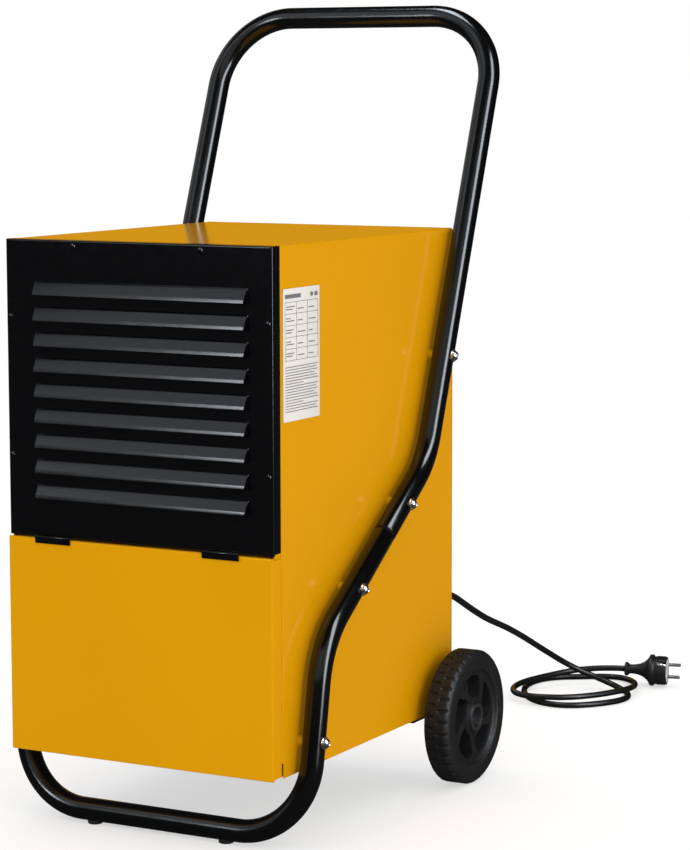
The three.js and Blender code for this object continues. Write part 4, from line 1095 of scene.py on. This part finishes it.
lp = lathe("tank_full_lens", [(0, 3.0), (6.6, 3.0), (6.9, 3.4), (6.9, 4.6), (6.4, 5.1), (5.6, 5.2), (5.4, 6.2), (4.6, 7.6), (3.2, 8.5), (1.6, 8.95), (0, 9.1)],
           V(20, 447, 306), "y", LAMP, 40, 30)
put(lp, "cabinet", "signal_red", "tank_full_lamp")
hm = plate("hm", [rrect(2, 38, 262, 282, 2.0), rrect(6.5, 33.5, 266.8, 277.2, 0.8)], lambda u, v, w: V(u, 451.7 + w, v), 3.0, PLASTIC, 0.5)
hw = boxmesh("hw", 6.7, 33.3, 450.2, 451.4, 267, 277, DARK, 0.1)
digits = [boxmesh("dg", 8.0 + 4.1 * k, 11.4 + 4.1 * k, 451.3, 451.7, 268.2, 275.8, PALE, 0.25, 1) for k in range(6)]
hm = join([hm, hw] + digits, "hour_meter_body")
put(hm, "cabinet", "black_plastic", "hour_meter")

# ============================================================ inside pieces that keep their design shape
def finish_node(name, mat, width=0.6, angle=40):
    o = nodes[name]
    o.data.materials.clear()
    o.data.materials.append(mat)
    w = o.modifiers.new("weld", "WELD")
    w.merge_threshold = 0.00002
    if width:
        bevel(o, width, 2, angle)
    return o


for name, mat, width in (
    ("base_pan", GALV, 0.4), ("mid_deck", GALV, 0.3), ("tank_bay_bulkhead", GALV, 0.3), ("fan_shroud", GALV, 0.3),
    ("fan_motor_bracket", GALV, 0.4), ("evaporator", ALU, 0.15), ("condenser", ALU, 0.15), ("drip_tray", PLASTIC, 0.5),
    ("air_filter", FOAM, 0.6), ("level_switch", PLASTIC, 0.8), ("fan_motor", PLASTIC, 0.8), ("electrical_box", PLASTIC, 1.5),
    ("compressor", BLACK, 1.0), ("suction_accumulator", BLACK, 0.5), ("tank_float", PLASTIC, 0.6),
):
    finish_node(name, mat, width)

# The copper lines, round along the same runs.
for name, corners, radii, r in (
    ("suction_line", [(-158, 102, 640), (-158, 380, 640), (-158, 380, 320), (-40, 385, 320), (-40, 385, 272.6)], [25, 25, 22], 5.0),
    ("discharge_line", [(70, 335, 300.6), (70, 335, 325), (163, 335, 325), (163, 335, 640), (163, 152, 640)], [14, 14, 25], 4.0),
):
    o = tube(name, bent(corners, radii, 6), r, COPPER, 24)
    put(o, "cabinet", "copper", name.replace("line", "pipe"))
drier = lathe("filter_drier_can", [(0, 150), (5, 152), (8.5, 157), (11, 163), (11, 227), (8.5, 233), (5, 238), (0, 240)], V(-90, 290, 0), "z", COPPER, 32, 30)
thin = tube("thin", bent([(-90, 290, 236), (-90, 290, 305), (-166, 330, 305), (-166, 330, 600), (-166, 92, 600)], [14, 14, 20], 6), 2.0, COPPER, 16)
put(join([drier, thin], "filter_drier_line"), "cabinet", "copper", "filter_drier")

# Fan rotor: a hub with five twisted, curved blades.
blades = []
for k in range(5):
    verts, faces = [], []
    NR, NC = 14, 12
    for side_ in (1, -1):
        for i in range(NR + 1):
            r = 26 + (109.5 - 26) * i / NR
            pitch = math.radians(36 - 14 * i / NR)
            chord = 44 + 26 * math.sin(math.pi * min(1, (i / NR) * 0.75))
            for j in range(NC + 1):
                u = j / NC - 0.5
                camber = 4.0 * (1 - (2 * u) ** 2)
                th = 1.15 * math.sqrt(max(0.02, 1 - (2 * u) ** 2)) * side_
                c = u * chord
                tang = c * math.cos(pitch) - (camber + th) * math.sin(pitch)
                axl = c * math.sin(pitch) + (camber + th) * math.cos(pitch) - 2
                sweep = 0.22 * (i / NR) ** 2
                a = tang / max(r, 1) + sweep + 2 * math.pi * k / 5
                verts.append(V(r * math.cos(a), 414 + max(-11.6, min(11.6, axl * 0.62)), 520 + r * math.sin(a)))
    W = NC + 1
    S = (NR + 1) * W
    for sd in (0, 1):
        for i in range(NR):
            for j in range(NC):
                a = sd * S + i * W + j
                faces.append([a, a + 1, a + 1 + W, a + W])
    for j in range(NC):
        for i in (0, NR):
            a = i * W + j
            faces.append([a, a + 1, S + a + 1, S + a])
    for i in range(NR):
        for j in (0, NC):
            a = i * W + j
            faces.append([a, a + W, S + a + W, S + a])
    blades.append(make("bl", verts, faces, PLASTIC, 50))
hub = lathe("hub", [(4.5, -11.8), (24, -11.8), (28, -10.8), (29.8, -8), (30, 8), (29, 10.6), (26.5, 11.8), (14, 11.8), (12.5, 9.5), (4.5, 9.5)],
            V(0, 414, 520), "y", PLASTIC, 60, 30, closed=True)
rotor = join([hub] + blades, "fan_blade_rotor")
put(rotor, "fan", "black_plastic", "fan_rotor")

# Water tank: a blow-moulded tub with a rolled rim, ribs and a finger lip.
verts, faces = [], []
t = dict(x=150.0, y0=20.0, y1=215.0, z0=113.5, z1=272.0)
def ring_at(inset, z, r):
    pts = rrect(-t["x"] + inset, t["x"] - inset, t["y0"] + inset, t["y1"] - inset, max(r, 1.0), 8)
    return [V(x, y, z) for x, y in pts]
levels = [(8, 113.5, 10), (3.5, 113.9, 12), (1.2, 115.4, 13), (0.6, 118, 14), (0.6, 150, 14), (1.6, 151.6, 13), (1.6, 158, 13), (0.6, 159.6, 14),
          (0.6, 205, 14), (1.6, 206.6, 13), (1.6, 213, 13), (0.6, 214.6, 14), (0.6, 262, 14), (0.15, 265, 14), (0.15, 270.6, 14), (0.7, 271.6, 13.5),
          (1.7, 272.0, 12.5), (3.0, 271.7, 11.5), (3.5, 270.6, 11), (3.5, 214, 11), (3.5, 160, 11), (3.6, 122, 11), (5.0, 118.4, 10), (9.0, 116.8, 8)]
R_ = [ring_at(*l) for l in levels]
n = len(R_[0])
for r in R_:
    verts += r
for a in range(len(R_) - 1):
    for i in range(n):
        j = (i + 1) % n
        faces.append([a * n + i, a * n + j, (a + 1) * n + j, (a + 1) * n + i])
faces.append(list(range(n))[::-1])
faces.append(list(range((len(R_) - 1) * n, len(R_) * n)))
tub = make("tub", verts, faces, TANKMAT, 35)
lip = boxmesh("lip", -70, 70, 9.2, 22, 266, 270, TANKMAT, 1.6, 4)
lug1 = boxmesh("lug1", 88, 92, 199, 213, 238, 254, TANKMAT, 1.0, 3)
lug2 = boxmesh("lug2", 108, 112, 199, 213, 238, 254, TANKMAT, 1.0, 3)
put(join([tub, lip, lug1, lug2], "water_tank_tub"), "tank", "tank_plastic", "water_tank")

# ============================================================ floor, light
def area(name, loc, target, w, h, power, color=(1, 1, 1), spread=180, seen="all"):
    d = bpy.data.lights.new(name, "AREA")
    d.shape = "RECTANGLE"
    d.size, d.size_y = w, h
    d.energy = power
    d.color = color
    d.spread = math.radians(spread)
    o = bpy.data.objects.new(name, d)
    scene.collection.objects.link(o)
    o.location = loc
    o.rotation_mode = "QUATERNION"
    o.rotation_quaternion = (Vector(target) - Vector(loc)).to_track_quat("-Z", "Y")
    o.visible_diffuse = seen != "gloss"
    o.visible_glossy = seen != "diffuse"
    o.visible_camera = False
    return o


def box_at(name, azimuth, elevation, wide, tall, radiance, color=(1, 1, 1), dist=4.0, centre=(0, -0.2, 0.5), seen="gloss"):
    """A softbox seen from the machine in one direction, wide and tall in degrees, facing the machine."""
    a, e = math.radians(azimuth), math.radians(elevation)
    loc = (centre[0] + dist * math.sin(a) * math.cos(e), centre[1] - dist * math.cos(a) * math.cos(e), centre[2] + dist * math.sin(e))
    w = 2 * dist * math.tan(math.radians(wide / 2))
    h = 2 * dist * math.tan(math.radians(tall / 2))
    return area(name, loc, centre, w, h, radiance * math.pi * w * h, color, seen=seen)


def polar(azimuth, dist, z):
    a = math.radians(azimuth)
    return (math.sin(a) * dist, -math.cos(a) * dist, z)


floor_mat = bpy.data.materials.new("floor")
floor_mat.use_nodes = True
fb = floor_mat.node_tree.nodes["Principled BSDF"]
fb.inputs["Base Color"].default_value = (0.44, 0.44, 0.44, 1)
fb.inputs["Emission Color"].default_value = (1, 1, 1, 1)
fb.inputs["Emission Strength"].default_value = 0.56
fb.inputs["Roughness"].default_value = 0.9
fb.inputs["Specular IOR Level"].default_value = 0.0
fnt = floor_mat.node_tree
f_out = fnt.nodes["Material Output"]
f_dark = fnt.nodes.new("ShaderNodeBsdfDiffuse")
f_dark.inputs[0].default_value = (0.035, 0.035, 0.037, 1)
f_mix = fnt.nodes.new("ShaderNodeMixShader")
f_lp = fnt.nodes.new("ShaderNodeLightPath")
fnt.links.new(f_lp.outputs["Is Glossy Ray"], f_mix.inputs[0])
fnt.links.new(fb.outputs[0], f_mix.inputs[1])
fnt.links.new(f_dark.outputs[0], f_mix.inputs[2])
fnt.links.new(f_mix.outputs[0], f_out.inputs[0])
me = bpy.data.meshes.new("floor")
S_ = 14.0
me.from_pydata([(-S_, -S_, 0), (S_, -S_, 0), (S_, S_, 0), (-S_, S_, 0)], [], [(0, 1, 2, 3)])
floor = link("floor", me)
me.materials.append(floor_mat)

world = bpy.data.worlds.new("world")
scene.world = world
world.use_nodes = True
wn = world.node_tree
wn.nodes.clear()
wo = wn.nodes.new("ShaderNodeOutputWorld")
bg_seen = wn.nodes.new("ShaderNodeBackground")
bg_seen.inputs[0].default_value = (1, 1, 1, 1)
bg_seen.inputs[1].default_value = 1.0
bg_diff = wn.nodes.new("ShaderNodeBackground")
bg_diff.inputs[0].default_value = (1, 1, 1, 1)
bg_diff.inputs[1].default_value = 1.04
lpn = wn.nodes.new("ShaderNodeLightPath")
m2 = wn.nodes.new("ShaderNodeMixShader")
wn.links.new(lpn.outputs["Is Camera Ray"], m2.inputs[0])
wn.links.new(bg_diff.outputs[0], m2.inputs[1])
wn.links.new(bg_seen.outputs[0], m2.inputs[2])
wn.links.new(m2.outputs[0], wo.inputs[0])
world.cycles_visibility.glossy = False        # reflections come from the softboxes below

BLUE = (0.86, 0.93, 1.0)
box_at("stripe", 82, 22, 20, 70, 11.5, BLUE)
box_at("lips", -25.6, 16, 7.0, 13, 17.0, BLUE)
box_at("slopes", -40, 47, 20, 22, 0.95, BLUE)
for k, az in enumerate((-115, -62, -8, 44)):
    box_at("grey_%d" % k, az, 24, 53, 34, 0.50, (0.95, 0.97, 1.0))
box_at("behind", 208.5, 12, 40, 18, 0.58, (1.0, 0.47, 0.02), dist=6.0)
box_at("fold", -75, 77, 24, 14, 15.0, BLUE)
area("key_right", polar(67, 3.6, 1.2), (0, 0, 0.5), 0.22, 2.6, 28, (1.0, 0.82, 0.66), seen="diffuse")
area("top_soft", (-0.3, 0.3, 3.4), (0, 0, 0.4), 2.6, 2.6, 14, seen="diffuse")
